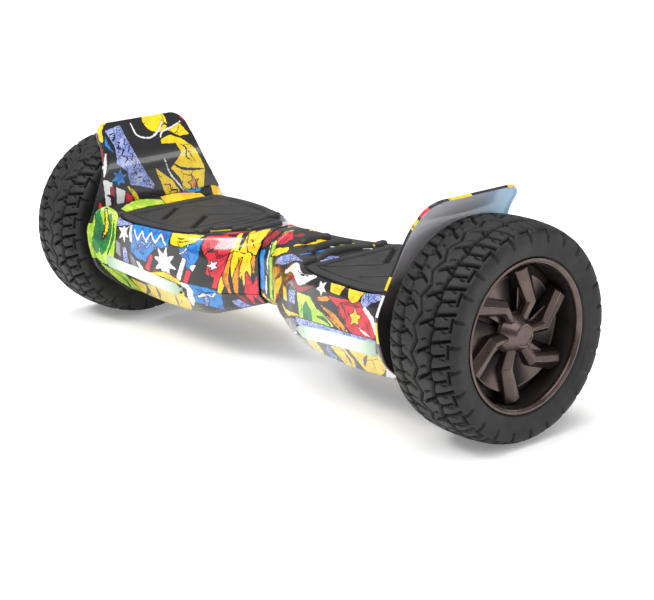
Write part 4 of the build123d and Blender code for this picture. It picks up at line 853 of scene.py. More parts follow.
PAINT_COLOURS = {
    "grey": ((0.30, 0.29, 0.30), (0.16, 0.155, 0.17)),
    "lime": ((0.36, 0.62, 0.035), (0.60, 0.74, 0.10)),
    "green": ((0.012, 0.22, 0.045), (0.02, 0.12, 0.05)),
    "blue": ((0.012, 0.24, 0.66), (0.02, 0.12, 0.42)),
    "yellow": ((0.93, 0.68, 0.008), (0.86, 0.58, 0.006)),
    "orange": ((0.86, 0.30, 0.012), (0.52, 0.15, 0.01)),
    "red": ((0.80, 0.022, 0.045), (0.50, 0.010, 0.030)),
    "white": ((0.80, 0.78, 0.78), (0.72, 0.70, 0.75)),
    "maroon": ((0.34, 0.014, 0.018), (0.20, 0.008, 0.012)),
    "lavender": ((0.24, 0.31, 0.70), (0.38, 0.44, 0.76)),
    "gold": ((0.92, 0.64, 0.03), (0.84, 0.48, 0.02)),
    "pearl": ((0.84, 0.83, 0.84), (0.78, 0.77, 0.82)),
    "ink": ((0.006, 0.006, 0.007), (0.012, 0.012, 0.014)),
}
OUTLINE = 0.95
THIN_OUTLINES = {"ink": 0.0, "pearl": 0.35, "maroon": 0.5, "green": 0.35, "grey": 0.6}


def printed_material():
    """The shells' glossy print: black, then the paints in turn, each with its drawn outline."""
    material, tree, shader, objects = new_material("printed_shell")
    where = field_node(tree, "at")["Vector"]
    wobble = range_node(tree, noise_node(tree, where, 0.25, 2.0), 0.3, 0.7, -0.4, 0.4)
    shading = range_node(tree, noise_node(tree, where, 0.09, 3.0, 0.6), 0.48, 0.56)
    speckle = range_node(tree, noise_node(tree, where, 1.6, 2.0), 0.4, 0.7)
    below = mix_node(tree, speckle, (0.007, 0.007, 0.008, 1), (0.016, 0.016, 0.019, 1))
    cracks = use_group(tree, CRACKS, Vector=where, Scale=0.06, Width=0.028, Spread=0.53)
    hatch = use_group(tree, CRACKS, Vector=where, Scale=0.26, Width=0.08, Spread=0.44)
    for paint in PAINTS:
        field = field_node(tree, paint)["Fac"]
        first, second = PAINT_COLOURS[paint]
        layer = use_group(tree, PAINT_LAYER, Below=below, Distance=field, Wobble=wobble,
                          Outline=THIN_OUTLINES.get(paint, OUTLINE), Paint=first + (1.0,),
                          Shade=second + (1.0,), Shading=shading)
        below = layer.outputs["Colour"]
        lines = {"yellow": cracks, "lavender": hatch}.get(paint)
        if lines:
            inside = range_node(tree, field, 0.3, 0.8)
            mask = math_node(tree, "MULTIPLY", lines.outputs["Mask"], inside)
            below = mix_node(tree, mask, below, (0.010, 0.010, 0.022, 1))
    tree.links.new(below, shader.inputs["Base Color"])
    add_grain(tree, shader, objects, 260.0, 0.03, 0.0004, (0.24, 0.34))
    set_shader(shader, Coat_Weight=0.6, Coat_Roughness=0.06, Specular_IOR_Level=0.45)
    return material


def lamp_material():
    """Milky lamp bar: faint green-white glow, brightest in the middle of its length."""
    material, tree, shader, where = new_material("lamp_lens")
    x = math_node(tree, "ABSOLUTE", object_axes(tree, where)[0])
    from_middle = math_node(tree, "ABSOLUTE", math_node(tree, "SUBTRACT", x, 0.165))
    middle = range_node(tree, from_middle, 0.03, 0.066, 1.0, 0.0)
    colour = mix_node(tree, middle, (0.34, 0.43, 0.32, 1), (0.60, 0.71, 0.56, 1))
    dots = math_node(tree, "MULTIPLY", noise_node(tree, where, 240.0, 2.0), 0.12)
    tree.links.new(mix_node(tree, dots, colour, (0.70, 0.78, 0.70, 1)), shader.inputs["Base Color"])
    glow = mix_node(tree, middle, (0.01, 0.015, 0.01, 1), (0.16, 0.19, 0.14, 1))
    tree.links.new(glow, shader.inputs["Emission Color"])
    add_grain(tree, shader, where, 500.0, 0.03, 0.0002, (0.18, 0.3))
    set_shader(shader, Emission_Strength=1.0, Subsurface_Weight=0.2, Coat_Weight=0.6)
    return material


def plate_back_material():
    """Wheel side of the upright plate: pearl grey that darkens to brown-black at its root, shade painted in low down
    between the body and the wheel.
    """
    material, tree, shader, where = new_material("printed_shell_back")
    x, y, z = object_axes(tree, where)
    cloud = math_node(tree, "MULTIPLY", noise_node(tree, where, 14.0, 2.0), 0.05)
    # painted shade: the ramp runs from near black low down to pale grey high up
    height = range_node(tree, math_node(tree, "ADD", z, cloud), 0.150, 0.232)
    ramp = tree.nodes.new("ShaderNodeValToRGB")
    stops = ((0.0, (0.02, 0.015, 0.016)), (0.35, (0.11, 0.085, 0.085)), (0.65, (0.42, 0.39, 0.42)),
             (1.0, (0.70, 0.70, 0.76)))
    ramp.color_ramp.elements[1].position = 0.35
    ramp.color_ramp.elements.new(0.65)
    ramp.color_ramp.elements.new(1.0)
    for element, (place, colour) in zip(ramp.color_ramp.elements, stops):
        element.position = place
        element.color = colour + (1.0,)
    tree.links.new(height, ramp.inputs[0])
    corner = range_node(tree, math_node(tree, "MULTIPLY", x, y), -0.002, 0.013)
    tint = math_node(tree, "MULTIPLY", corner, range_node(tree, height, 0.45, 0.9))
    tree.links.new(mix_node(tree, tint, ramp.outputs[0], (0.20, 0.50, 0.80, 1)), shader.inputs["Base Color"])
    add_grain(tree, shader, where, 300.0, 0.03, 0.0004, (0.28, 0.4))
    set_shader(shader, Coat_Weight=0.6, Coat_Roughness=0.1)
    return material


FINISHES = {
    "printed_shell": printed_material(),
    # the near-black extra colours below are painted shade for the pad's grooves, the tyre's grooves and the bronze's
    # hollows
    "pad_rubber": plain_material("pad_rubber", (0.030, 0.030, 0.031), (0.040, 0.039, 0.039), (0.50, 0.62),
                                 scale=1500.0, bump=0.3, specular=0.35, painted_shade_colour=(0.006, 0.006, 0.006)),
    "tyre_rubber": plain_material("tyre_rubber", (0.0150, 0.0152, 0.0150), (0.0225, 0.0225, 0.0215), (0.50, 0.62),
                                  scale=1100.0, bump=0.25, specular=0.3, painted_shade_colour=(0.0025, 0.0025, 0.0025)),
    "bronze_alloy": plain_material("bronze_alloy", (0.128, 0.092, 0.082), (0.100, 0.071, 0.064), (0.22, 0.32),
                                   metallic=0.9, scale=2600.0, bump=0.06, coat=0.2, coat_rough=0.2,
                                   painted_shade_colour=(0.010, 0.008, 0.008)),
    "cast_alloy": plain_material("cast_alloy", (0.42, 0.42, 0.43), (0.33, 0.33, 0.35), (0.42, 0.6), metallic=0.9,
                                 scale=1200.0, bump=0.3),
    "steel": plain_material("steel", (0.50, 0.50, 0.51), (0.40, 0.40, 0.42), (0.22, 0.38), metallic=1.0,
                            scale=2000.0, bump=0.08),
    "lamp_lens": lamp_material(),
    "circuit_board": plain_material("circuit_board", (0.012, 0.11, 0.04), (0.01, 0.07, 0.03), (0.35, 0.5),
                                    coat=0.3),
    "stator_steel": plain_material("stator_steel", (0.22, 0.22, 0.23), (0.14, 0.14, 0.15), (0.4, 0.55), metallic=0.9),
    "copper": plain_material("copper", (0.70, 0.28, 0.12), (0.52, 0.18, 0.08), (0.25, 0.4), metallic=1.0),
    "black_plastic": plain_material("black_plastic", (0.016, 0.016, 0.017), (0.024, 0.024, 0.025), (0.42, 0.55),
                                    scale=1800.0, bump=0.25),
    "button_plastic": plain_material("button_plastic", (0.05, 0.05, 0.055), (0.035, 0.035, 0.04), (0.3, 0.4),
                                     coat=0.4),
    "socket_metal": plain_material("socket_metal", (0.62, 0.58, 0.50), (0.5, 0.46, 0.4), (0.25, 0.35), metallic=1.0),
}
# painted shade: a near-black copy of the bronze for the barrel and the hub disc, standing for the shade deep inside
# the wheel
BRONZE_IN_PAINTED_SHADE = plain_material("bronze_alloy_painted_shade", (0.020, 0.016, 0.015), (0.030, 0.023, 0.021), (0.4, 0.55),
                             metallic=0.5, scale=2000.0, bump=0.1)
PLATE_BACK = plate_back_material()


def both_sides(points, sign):
    """The left half's points are the right half's with x reversed."""
    return points * np.array([sign, 1.0, 1.0])


# ---- shells ----
for side, sign in SIDES:
    for top, part in ((True, "top_shell"), (False, "bottom_shell")):
        points, faces, fields = shell(top, sign)
        piece = new_piece(f"{part}_{side}_print", points, faces, FINISHES["printed_shell"], f"{side}_half",
                          (f"{part}_{side}",), sharp=None, fields=fields)
        thick(piece, WALL)

# ---- lamp bars: a strip of the section's surface, pushed out by 1 - (2q - 1)^6 over its height ----
LAMP_ROWS = [(2, t) for t in (0.925, 0.94, 0.955, 0.975)] + [(3, t) for t in (0.0, 0.25, 0.5, 0.75)]
LAMP_ROWS += [(4, t) for t in (0.0, 0.03, 0.055, 0.07)]
LAMP_SWELL = 1.1
LAMP_WALL = 3.2
LAMP_LOW_ROW = 5
for side, sign in SIDES:
    xs = np.concatenate([[LAMP_START - 2.0], np.linspace(LAMP_START - 1.2, LAMP_END + 3.2, 90), [LAMP_END + 4.0]])
    near_end = np.minimum(xs - xs[0], xs[-1] - xs)
    line = np.array([section_points(xs, k, t)[0] for k, t in LAMP_ROWS])
    height = np.linspace(0, 1, len(LAMP_ROWS))
    # the inner end narrows to a point low down
    narrow = ease(0.0, 14.0, xs - xs[0])[None, :, None]
    line = line * narrow + line[LAMP_LOW_ROW][None] * (1 - narrow)
    tangent = np.gradient(line, axis=0) + 1e-6
    tangent /= np.linalg.norm(tangent, axis=2)[..., None]
    outward = np.stack([-tangent[..., 1], tangent[..., 0]], -1)
    swell = LAMP_SWELL * (1 - (2 * height[:, None] - 1) ** 6) * np.sqrt(np.clip(near_end / 3.0, 0, 1)) - 0.2
    shape = line + outward * swell[..., None]
    x = np.repeat(xs[None], len(LAMP_ROWS), 0)
    points = np.stack([x * sign, -shape[..., 0], shape[..., 1] + AXLE_Z], -1).reshape(-1, 3)
    faces = face_along(points, grid_faces(len(LAMP_ROWS), len(xs)), (0.0, -1.0, 0.0))
    piece = new_piece(f"lamp_front_{side}", points, faces, FINISHES["lamp_lens"], f"{side}_half",
                      (f"lamp_lens_{side}",), sharp=None)
    thick(piece, LAMP_WALL)

# ---- upright plates between the body and the wheels ----
PLATE_PROFILE = rounded_path([(246.0, 42.0), (246.0, 147.0), (252.0, 199.0), (280.0, 235.0)], 20.0, 10, False)
PLATE_WIDTHS = np.array([(42, 47), (81, 90), (111, 97.5), (120, 98), (146, 88), (199, 66), (236, 60)], float)
PLATE_ROOT = 58.0
PLATE_CORNER = 16.0
PLATE_COLUMNS = 121
PLATE_WALL = 3.4
PLATE_WINDOW = 20.0
# keeps the plate's print clear of the body's in the noises that read "at"
PLATE_AT = 400.0
for side, sign in SIDES:
    run = run_length(PLATE_PROFILE)
    total = run[-1]
    corner_start = total - PLATE_CORNER
    corner = np.sin(np.linspace(0, 1, 14)[1:] * np.pi / 2)
    s = np.concatenate([np.linspace(0, corner_start, 120), total - PLATE_CORNER * (1 - corner)])
    px = np.interp(s, run, PLATE_PROFILE[:, 0])
    pz = np.interp(s, run, PLATE_PROFILE[:, 1])
    half = through(PLATE_WIDTHS[:, 0], PLATE_WIDTHS[:, 1], pz)
    past = np.clip(s - corner_start, 0, PLATE_CORNER)
    half = half - PLATE_CORNER + np.sqrt(np.maximum(PLATE_CORNER**2 - past**2, 0))
    across = np.linspace(-1, 1, PLATE_COLUMNS)
    grid = [np.repeat(line[:, None], PLATE_COLUMNS, 1) for line in (px * sign, pz, s - PLATE_ROOT)]
    points = np.stack([grid[0], half[:, None] * across, grid[1]], -1)
    # the side edges lean out a little near the top
    lift = ease(0.90, 1.0, np.abs(across))[None, :] * ease(total - 110, total - 60, s)[:, None]
    points[..., 0] += 0.8 * sign * lift
    flat = points.reshape(-1, 3)
    faces = grid_faces(len(s), PLATE_COLUMNS)
    centre = flat[faces].mean(1)
    faces = faces[np.hypot(centre[:, 1], centre[:, 2] - AXLE_Z) >= PLATE_WINDOW]
    around = np.hypot(flat[:, 1], flat[:, 2] - AXLE_Z)
    pull = np.abs(around - PLATE_WINDOW) < 1.3
    axle = np.array([0.0, AXLE_Z])
    flat[pull, 1:] = (flat[pull, 1:] - axle) / around[pull, None] * PLATE_WINDOW + axle
    along = grid[2].reshape(-1)
    u = flat[:, 1] * -sign
    fields = painted(PLATE_ART, u, along)
    fields["at"] = np.stack([u + PLATE_AT, along, np.zeros_like(along)], -1)
    flat, faces, fields = used_only(flat, faces, fields)
    faces = face_along(flat, faces, (-sign, 0.0, 0.0))
    piece = new_piece(f"fender_{side}_plate", flat, faces, FINISHES["printed_shell"], f"{side}_half",
                      (f"fender_{side}",), sharp=None, fields=fields)
    piece.data.materials.append(PLATE_BACK)
    thick(piece, PLATE_WALL).material_offset = 1

# ---- collar over the joint of the halves ----
COLLAR_STEPS = (8, 12, 12, 20, 10, 12)
COLLAR_WALL = 2.6
ring, ring_v = [], []
for segment, count in enumerate(COLLAR_STEPS):
    for t in np.linspace(0, 1, count, endpoint=False):
        point, v = section_points(np.array([BODY_START]), segment, t)
        ring.append(point[0])
        ring_v.append(v[0])
ring, ring_v = np.array(ring), np.array(ring_v)
ring = np.concatenate([ring, ring[:0:-1] * [-1, 1]])
ring_v = np.concatenate([ring_v, ring_v[:0:-1]])
collar_x = np.array([-11.0, -10.4, -8, -4, 0, 4, 8, 10.4, 11.0])
inset = np.array([2.0, 0.8, 0.5, 0.5, 0.5, 0.5, 0.5, 0.8, 2.0])
centre = np.array([0.0, (CORNERS[0, 0, 1] + CORNERS[0, 4, 1]) / 2])
away = ring - centre
reach = np.linalg.norm(away, axis=1)
points, us, vs = [], [], []
for x, gap in zip(collar_x, inset):
    p = centre + away * ((reach - gap) / reach)[:, None]
    points.append(np.stack([np.full(len(p), x), -p[:, 0], p[:, 1] + AXLE_Z], -1))
    us.append(np.where(p[:, 0] >= 0, x, -x))
    vs.append(ring_v)
points = np.array(points).reshape(-1, 3)
us, vs = np.array(us).reshape(-1), np.array(vs).reshape(-1)
fields = painted(SIDE_ART, us, vs)
fields["at"] = np.stack([us, vs, np.zeros_like(us)], -1)
faces = grid_faces(len(collar_x), len(ring), wrap_cols=True)
faces = face_along(points, faces, from_axle(points, faces))
collar = new_piece("centre_collar_print", points, faces, FINISHES["printed_shell"], "right_half",
                   ("centre_collar",), sharp=None, fields=fields)
thick(collar, COLLAR_WALL)

# ---- foot pads: outline scaled grid, raised rim, grooves drawn by distance to short lines ----
PAD_LINES = (
    ((114, -46), (148, -4), 3.2),
    ((114, 46), (148, 4), 2.8),
    ((170, -46), (204, -4), 3.2),
    ((170, 46), (204, 4), 2.8),
    ((212, -52), (212, -18), 1.5),
    ((212, 52), (212, 18), 1.5),
)
PAD_COLUMNS = 121
PAD_BORDER = 11.5
GROOVE_DEPTH = 2.0
for side, sign in SIDES:
    quarter = np.linspace(0, 1, 9) * np.pi / 2
    xs = np.concatenate([PAD_START + PAD_CORNER * (1 - np.cos(quarter)),
                         np.linspace(PAD_START + PAD_CORNER, PAD_END - PAD_CORNER, 100)[1:-1],
                         PAD_END - PAD_CORNER * (1 - np.cos(quarter[::-1]))])
    near_end = np.minimum(xs - PAD_START, PAD_END - xs)
    past = np.maximum(PAD_CORNER - near_end, 0)
    cut = PAD_CORNER - np.sqrt(np.maximum(PAD_CORNER**2 - past**2, 0))
    y = (pad_edge(xs) - cut)[:, None] * np.linspace(-1, 1, PAD_COLUMNS)
    x = np.repeat(xs[:, None], PAD_COLUMNS, 1)
    inside = pad_depth(x, y)
    z = np.full(x.shape, PAD_TOP) - 0.1
    z -= 1.4 * (1 - ease(0.0, 2.2, inside))
    z -= 0.9 * ease(8.0, 9.5, inside)
    line = 1 - ease(0.9, 1.8, np.abs(inside - PAD_BORDER))
    for a, b, width in PAD_LINES:
        stroke = ease(-0.6, 0.6, blade(x, y, (a, b), (width, width)))
        line = np.maximum(line, stroke * ease(12, 13, inside))
    z -= GROOVE_DEPTH * line
    top = np.stack([x, y, z], -1).reshape(-1, 3)
    n, m = x.shape
    edge = np.concatenate([np.arange(m), np.arange(1, n) * m + m - 1,
                           (n - 1) * m + np.arange(m - 2, -1, -1), np.arange(n - 2, 0, -1) * m])
    skirt = top[edge].copy()
    skirt[:, 2] = PAD_BOTTOM
    points = both_sides(np.concatenate([top, skirt]), sign)
    low = n * m + np.arange(len(edge))
    wall = np.stack([edge, np.roll(edge, -1), np.roll(low, -1), low], -1)
    faces = [tuple(q) for q in grid_faces(n, m)] + [tuple(q[::-1]) for q in wall] + [tuple(low)]
    # painted shade: the field darkens the pad's grooves and its border groove
    piece = new_piece(f"foot_pad_{side}_cover", points, faces, FINISHES["pad_rubber"], f"pad_{side}",
                      (f"foot_pad_{side}",), sharp=50.0,
                      fields={"painted_shade": np.concatenate([line.reshape(-1), np.zeros(len(edge))])})
    a, b, c = (points[faces[0][i]] for i in range(3))
    if np.cross(b - a, c - a)[2] < 0:
        piece.data.flip_normals()


# ---- ribs between the pad and the middle: half-round bars on the sloping deck ----
def rib(path_x, path_y, width, height):
    """Half-round bar along a path: cross-section (w/2 cos a, h sin a), ends drawn in as a circle."""
    length = run_length(np.stack([path_x, path_y], -1))
    near_end = np.minimum(length, length[-1] - length)
    r = width / 2
    scale = np.sqrt(np.clip(1 - (1 - np.clip(near_end / r, 0, 1)) ** 2, 0.0004, 1))
    dx, dy = np.gradient(path_x), np.gradient(path_y)
    norm = np.hypot(dx, dy)
    nx, ny = -dy / norm, dx / norm
    a = np.linspace(0, np.pi, 13)
    ca = np.sign(np.cos(a)) * np.abs(np.cos(a)) ** 0.75
    sa = np.sin(a) ** 0.75
    base = corner_points(path_x)[:, 0, 1] + AXLE_Z - 1.0
    x = path_x + np.outer(ca, nx * r * scale)
    y = path_y + np.outer(ca, ny * r * scale)
    z = base + np.outer(sa, (height + 1.0) * scale**0.6)
    loop = np.stack([x, y, z], -1)
    under = np.stack([path_x, path_y, base - 0.6], -1)[None]
    return np.concatenate([loop, under])


for side, sign in SIDES:
    points, faces, start = [], [], 0
    bars = []
    for x, back, half_length in RIBS:
        t = np.linspace(-1, 1, 49)
        bars.append((x + back * t**2, half_length * t))
    for centre_y in (STUB[1], -STUB[1]):
        t = np.linspace(-0.5, 0.5, 33)
        bars.append((np.full(33, STUB[0] + 10.0), centre_y + STUB[2] * t))
    for path_x, path_y in bars:
        loop = rib(path_x, path_y, RIB_WIDTH, RIB_HEIGHT)
        n, m = loop.shape[:2]
        points.append(loop.reshape(-1, 3))
        faces.append(grid_faces(n, m, wrap_rows=True) + start)
        start += n * m
    points, faces = np.concatenate(points), np.concatenate(faces)
    if sign < 0:
        faces = faces[:, ::-1]
    piece = new_piece(f"grip_ribs_{side}_bars", both_sides(points, sign), faces,
                      FINISHES["pad_rubber"], f"{side}_half", (f"grip_ribs_{side}",), sharp=60.0)
    face_outward(piece, hole_sides=20)

# ---- tyres: a closed section carried round the axle, cut back where the tread has grooves ----
TYRE_SECTION = smooth_line(
    [(36.6, 72.5), (37.6, 75.6), (39.8, 77.2), (41.6, 82.5), (42.8, 88.0), (43.4, 93.0), (42.4, 97.8), (39.0, 101.8),
     (33.0, 104.6), (24.0, 106.6), (12.0, 107.7), (0.0, 108.0)],
    10,
)


TYRE_INSIDE = np.array(
    [(-35.6, 71.0), (-34.0, 80.0), (-38.0, 92.0), (-30.0, 99.0), (0.0, 100.6), (30.0, 99.0),
     (38.0, 92.0), (34.0, 80.0), (35.6, 71.0)]
)
TYRE_AROUND = 780
TYRE_ACROSS = 116
SIPE_DEPTH = 2.4
# slanted grooves: (phase, slope, from, to, half width), measured across from the middle
TREAD_BARS = (
    (0.0, 0.55, 3.0, 20.0, 1.4),
    (0.45, -0.5, 9.0, 20.0, 1.1),
    (0.3, 0.28, 19.0, 41.0, 1.6),
    (0.8, 0.28, 19.0, 37.0, 1.2),
    (0.3, 0.1, 41.0, 57.0, 1.7),
)
# kinked sipes in the blocks: (phase, from, to, lean)
TREAD_SIPES = ((0.22, 5.0, 14.0, 0.9), (0.62, 7.0, 16.0, 0.9), (0.54, 22.5, 35.0, -1.5), (0.05, 23.0, 36.5, -1.5))
# thin rings pressed into the sidewall: (place across, half width, depth)
SIDEWALL_RINGS = ((63.0, 1.0, 0.7), (72.0, 0.8, 0.4))


def groove(distance, half_width):
    """0 inside a groove, 1 outside it."""
    return ease(half_width - 0.5, half_width + 0.7, np.abs(distance))


def wave(value):
    """Triangle wave from 1 down to 0 and back."""
    return np.abs((value % 1.0) - 0.5) * 2


def tread_height(along, across):
    """1 on a block and 0 in a groove, the same for the sipes; mirrored half a step across the middle."""
    period = 2 * np.pi * TYRE_RADIUS / TREAD_REPEATS
    c = np.abs(across)
    a = along / period + np.where(across >= 0, 0.0, 0.5)

    def from_line(phase):
        return ((a + phase + 0.5) % 1.0 - 0.5) * period

    zig = 2.6 * (wave(a) - 0.5)
    height = groove(across + 3.4 * (wave(along / period) - 0.5) * 2, 1.3)
    height = np.minimum(height, groove(c - 19.5 - zig, 1.7))
    height = np.minimum(height, np.where(wave(a + 0.3) > 0.45, groove(c - 39.5, 1.1), 1.0))
    for phase, slope, low, high, half_width in TREAD_BARS:
        bar = groove(from_line(phase + slope * c / period), half_width)
        height = np.minimum(height, np.where((c > low) & (c < high), bar, 1.0))
    sipe = np.ones_like(along)
    for phase, low, high, lean in TREAD_SIPES:
        kink = lean * np.clip((c - (low + high) / 2) / 1.6, -1, 1)
        fade = ease(low, low + 1.2, c) * ease(-high, -high + 1.2, -c)
        sipe = np.minimum(sipe, 1 - fade * (1 - ease(0.5, 1.35, np.abs(from_line(phase) + kink))))
    return height, sipe


full = np.concatenate([TYRE_SECTION, TYRE_SECTION[-2::-1] * [-1, 1]])
run = run_length(full)
s = np.linspace(0, run[-1], TYRE_ACROSS)
section = np.stack([np.interp(s, run, full[:, 0]), np.interp(s, run, full[:, 1])], -1)
tangent = np.gradient(section, axis=0)
tangent /= np.linalg.norm(tangent, axis=1)[:, None]
normal = np.stack([tangent[:, 1], -tangent[:, 0]], -1)
if normal[len(normal) // 2, 1] < 0:
    normal = -normal
angle = np.arange(TYRE_AROUND) / TYRE_AROUND * 2 * np.pi
along = np.broadcast_to(angle * TYRE_RADIUS, (len(s), TYRE_AROUND))
across = np.broadcast_to((run[-1] / 2 - s)[:, None], along.shape)
block, sipe = tread_height(along, across)
out = np.abs(across)
zone = (1 - 0.45 * ease(38.0, 46.0, out)) * (1 - ease(49.0, 55.0, out))
cut = (TREAD_DEPTH * (1 - block) + SIPE_DEPTH * (1 - sipe) * block) * zone
for place, half_width, depth in SIDEWALL_RINGS:
    cut += depth * (1 - ease(0.0, half_width, np.abs(out - place)))
carved = section[:, None] - normal[:, None] * cut[..., None]
inside = np.repeat(TYRE_INSIDE[:, None], TYRE_AROUND, 1)
w, r = np.moveaxis(np.concatenate([carved, inside]), -1, 0)
# painted shade: darkest in the tread's grooves, partly in the sipes, none on the inside surface
painted_shade = np.concatenate([(1 - block * (1 - 0.8 * (1 - sipe))) * zone, np.zeros(inside.shape[:2])]).reshape(-1)
for side, sign in SIDES:
    points = np.stack([(HALF_TRACK + w) * sign, r * np.cos(angle), r * np.sin(angle) + AXLE_Z], -1)
    points = points.reshape(-1, 3)
    faces = grid_faces(len(w), TYRE_AROUND, wrap_rows=True, wrap_cols=True)
    tread = faces[TYRE_ACROSS // 2 * TYRE_AROUND][None]
    if (face_along(points, tread, from_axle(points, tread)) != tread).any():
        faces = faces[:, ::-1]
    new_piece(f"tyre_{side}_tread", points, faces, FINISHES["tyre_rubber"], f"wheel_{side}",
              (f"tyre_{side}",), sharp=None, fields={"painted_shade": painted_shade})

# ---- rims: closed profile turned about the axle ----
RIM_PROFILE = rounded_path(
    [(39.4, 74.8), (36.8, 75.0), (36.0, 70.8), (-36.0, 70.8), (-36.8, 75.0), (-39.4, 74.8), (-39.4, 71.0), (-36.0, 68.6),
     (-30.0, 67.4), (0.0, 67.2), (3.0, 67.6), (34.2, 69.6), (35.2, 69.2), (37.4, 70.0), (38.4, 71.6), (39.4, 72.4)],
    0.9, 3,
)
BARREL_PROFILE = rounded_path([(2.5, 67.9), (33.0, 69.4), (33.0, 68.9), (2.5, 67.3)], 0.2, 2)
HUB_PROFILE = rounded_path(
    [(8.0, 10.4), (8.0, 67.2), (11.5, 67.2), (12.0, 64.0), (12.6, 22.0), (23.0, 21.5), (24.0, 10.4)], 0.8, 2)
NOSE_PROFILE = rounded_path(
    [(17.5, 0.02), (17.5, 22.4), (20.5, 22.4), (25.0, 19.4), (35.4, 11.4), (36.0, 9.6), (34.6, 8.6), (34.6, 0.02)],
    0.8, 3,
)
TURNED_AROUND = 180
SPOKES = 6
SPOKE_TIP_ANGLE = math.radians(86.0)
SPOKE_EDGE = 0.7
# (radius, sideways, half width, ridge height, foot height)
SPOKE_STATIONS = np.array(
    [(13.0, -6.0, 4.8, 30.0, 14.0), (31.0, -14.0, 7.2, 33.0, 12.0), (64.0, -1.5, 10.6, 31.0, 12.0),
     (67.6, 0.0, 10.8, 24.0, 12.0)]
)
# painted shade on the six lines of a spoke, from foot over ridge to foot
SPOKE_SHADE = (1.0, 0.42, 0.10, 0.0, 0.30, 1.0)
# (radius, drop of the plate there)
FAN_EDGE = np.array([(18.0, 0.0), (30.0, 0.0), (42.0, 0.0), (54.0, 0.0), (56.6, -0.3), (57.2, 1.2), (57.2, 7.0)])
FAN_TURN = 52.0
FAN_WALL = 1.2


def spoke():
    """Bent bar with a ridge, a six-sided outline at each station, as (radial, sideways, out)."""
    path = SPOKE_STATIONS[:, :2]
    step = np.gradient(path, axis=0)
    step /= np.linalg.norm(step, axis=1)[:, None]
    across = np.stack([-step[:, 1], step[:, 0]], -1)
    loops = []
    for (u, v, half, ridge, foot), n in zip(SPOKE_STATIONS, across):
        outline = [(-half, foot), (-half * 0.96, ridge - 5.6), (-half * 0.1, ridge),
                   (half * 0.55, ridge - 1.4), (half * 0.96, ridge - 5.0), (half, foot)]
        loops.append([(u + n[0] * s, v + n[1] * s, w) for s, w in outline])
    return np.array(loops)


def fan():
    """Plate beside a spoke: polar patch, highest at the spoke, its outer edge turned down."""
    turn = np.radians(np.linspace(-FAN_TURN, 0.0, 27))
    r, a = np.meshgrid(FAN_EDGE[:, 0], turn, indexing="ij")
    height = 23.0 - 5.0 * ease(0.0, 1.0, -a / np.radians(FAN_TURN)) - FAN_EDGE[:, 1:]
    return np.stack([r * np.cos(a), r * np.sin(a), height], -1)


def round_the_hub(shape, sign):
    """Copies of a (radial, sideways, out) shape about the axle, one for each spoke."""
    copies = []
    for k in range(SPOKES):
        a = SPOKE_TIP_ANGLE + k * 2 * np.pi / SPOKES
        y = shape[..., 0] * np.cos(a) - shape[..., 1] * np.sin(a)
        z = shape[..., 0] * np.sin(a) + shape[..., 1] * np.cos(a)
        copies.append(np.stack([(HALF_TRACK + shape[..., 2]) * sign, y, z + AXLE_Z], -1).reshape(-1, 3))
    return np.concatenate(copies)


# the barrel and the hub disc take the bronze copy in painted shade
TURNED = (
    ("rim", RIM_PROFILE, "rim", FINISHES["bronze_alloy"]),
    ("barrel", BARREL_PROFILE, "rim", BRONZE_IN_PAINTED_SHADE),
    ("hub_disc", HUB_PROFILE, "hub_face", BRONZE_IN_PAINTED_SHADE),
    ("nose", NOSE_PROFILE, "hub_cap", FINISHES["bronze_alloy"]),
)
for side, sign in SIDES:
    for name, profile, node, finish in TURNED:
        points = revolve(profile, TURNED_AROUND)
        points[:, 0] = (HALF_TRACK + points[:, 0]) * sign
        faces = grid_faces(len(profile), TURNED_AROUND, wrap_rows=True, wrap_cols=True)
        piece = new_piece(f"{name}_{side}_turned", points, faces, finish, f"wheel_{side}",
                          (f"{node}_{side}",), sharp=32.0)
        face_outward(piece)
    loops = spoke()
    n, m = loops.shape[:2]
    faces = []
    for start in np.arange(SPOKES) * n * m:
        faces += [tuple(q + start) for q in grid_faces(n, m, wrap_cols=True)]
        faces.append(tuple(start + np.arange(m)[::-1]))
        faces.append(tuple(start + (n - 1) * m + np.arange(m)))
    bars = new_piece(f"spokes_{side}", round_the_hub(loops, sign), faces, FINISHES["bronze_alloy"],
                     f"wheel_{side}", (f"hub_face_{side}",), sharp=20.0,
                     fields={"painted_shade": np.tile(SPOKE_SHADE, n * SPOKES)})
    face_outward(bars)
    soften(bars, SPOKE_EDGE)
    plate = fan()
    n, m = plate.shape[:2]
    # painted shade on the fans: darkest where the plate sinks away from its spoke, at most a quarter on the outer
    # rows
    low = np.repeat(0.15 + 0.85 * (1 - ease(0.0, 0.55, np.linspace(0, 1, m)))[None, :], n, 0)
    low[4:] = np.minimum(low[4:], 0.25)
    faces = np.concatenate([grid_faces(n, m) + k * n * m for k in range(SPOKES)])
    fans = new_piece(f"spoke_fans_{side}", round_the_hub(plate, sign), faces, FINISHES["bronze_alloy"],
                     f"wheel_{side}", (f"hub_face_{side}",), sharp=40.0,
                     fields={"painted_shade": np.tile(low.reshape(-1), SPOKES)})
    if fans.data.polygons[0].normal.x * sign < 0:
        fans.data.flip_normals()
    thick(fans, FAN_WALL)


# ---- bezels round the button and the charging port ----
BEZEL_AROUND = 72
# (y, z) of a hinge lug's lower corners, the middle and radius of its eye, half width and place
LUG_FOOT = [(83.0, 120.0), (83.0, 118.6), (92.15, 118.6)]
LUG_EYE = (89.55, 122.5)
LUG_RADIUS = 2.6
LUG_HALF = 1.2
LUG_OFFSET = 5.55


def port_part(name, points, faces, sharp):
    """Closed black piece on the right shell's rear."""
    piece = new_piece(name, points, faces, FINISHES["black_plastic"], "right_half",
                      ("top_shell_right",), sharp=sharp)
    face_outward(piece)


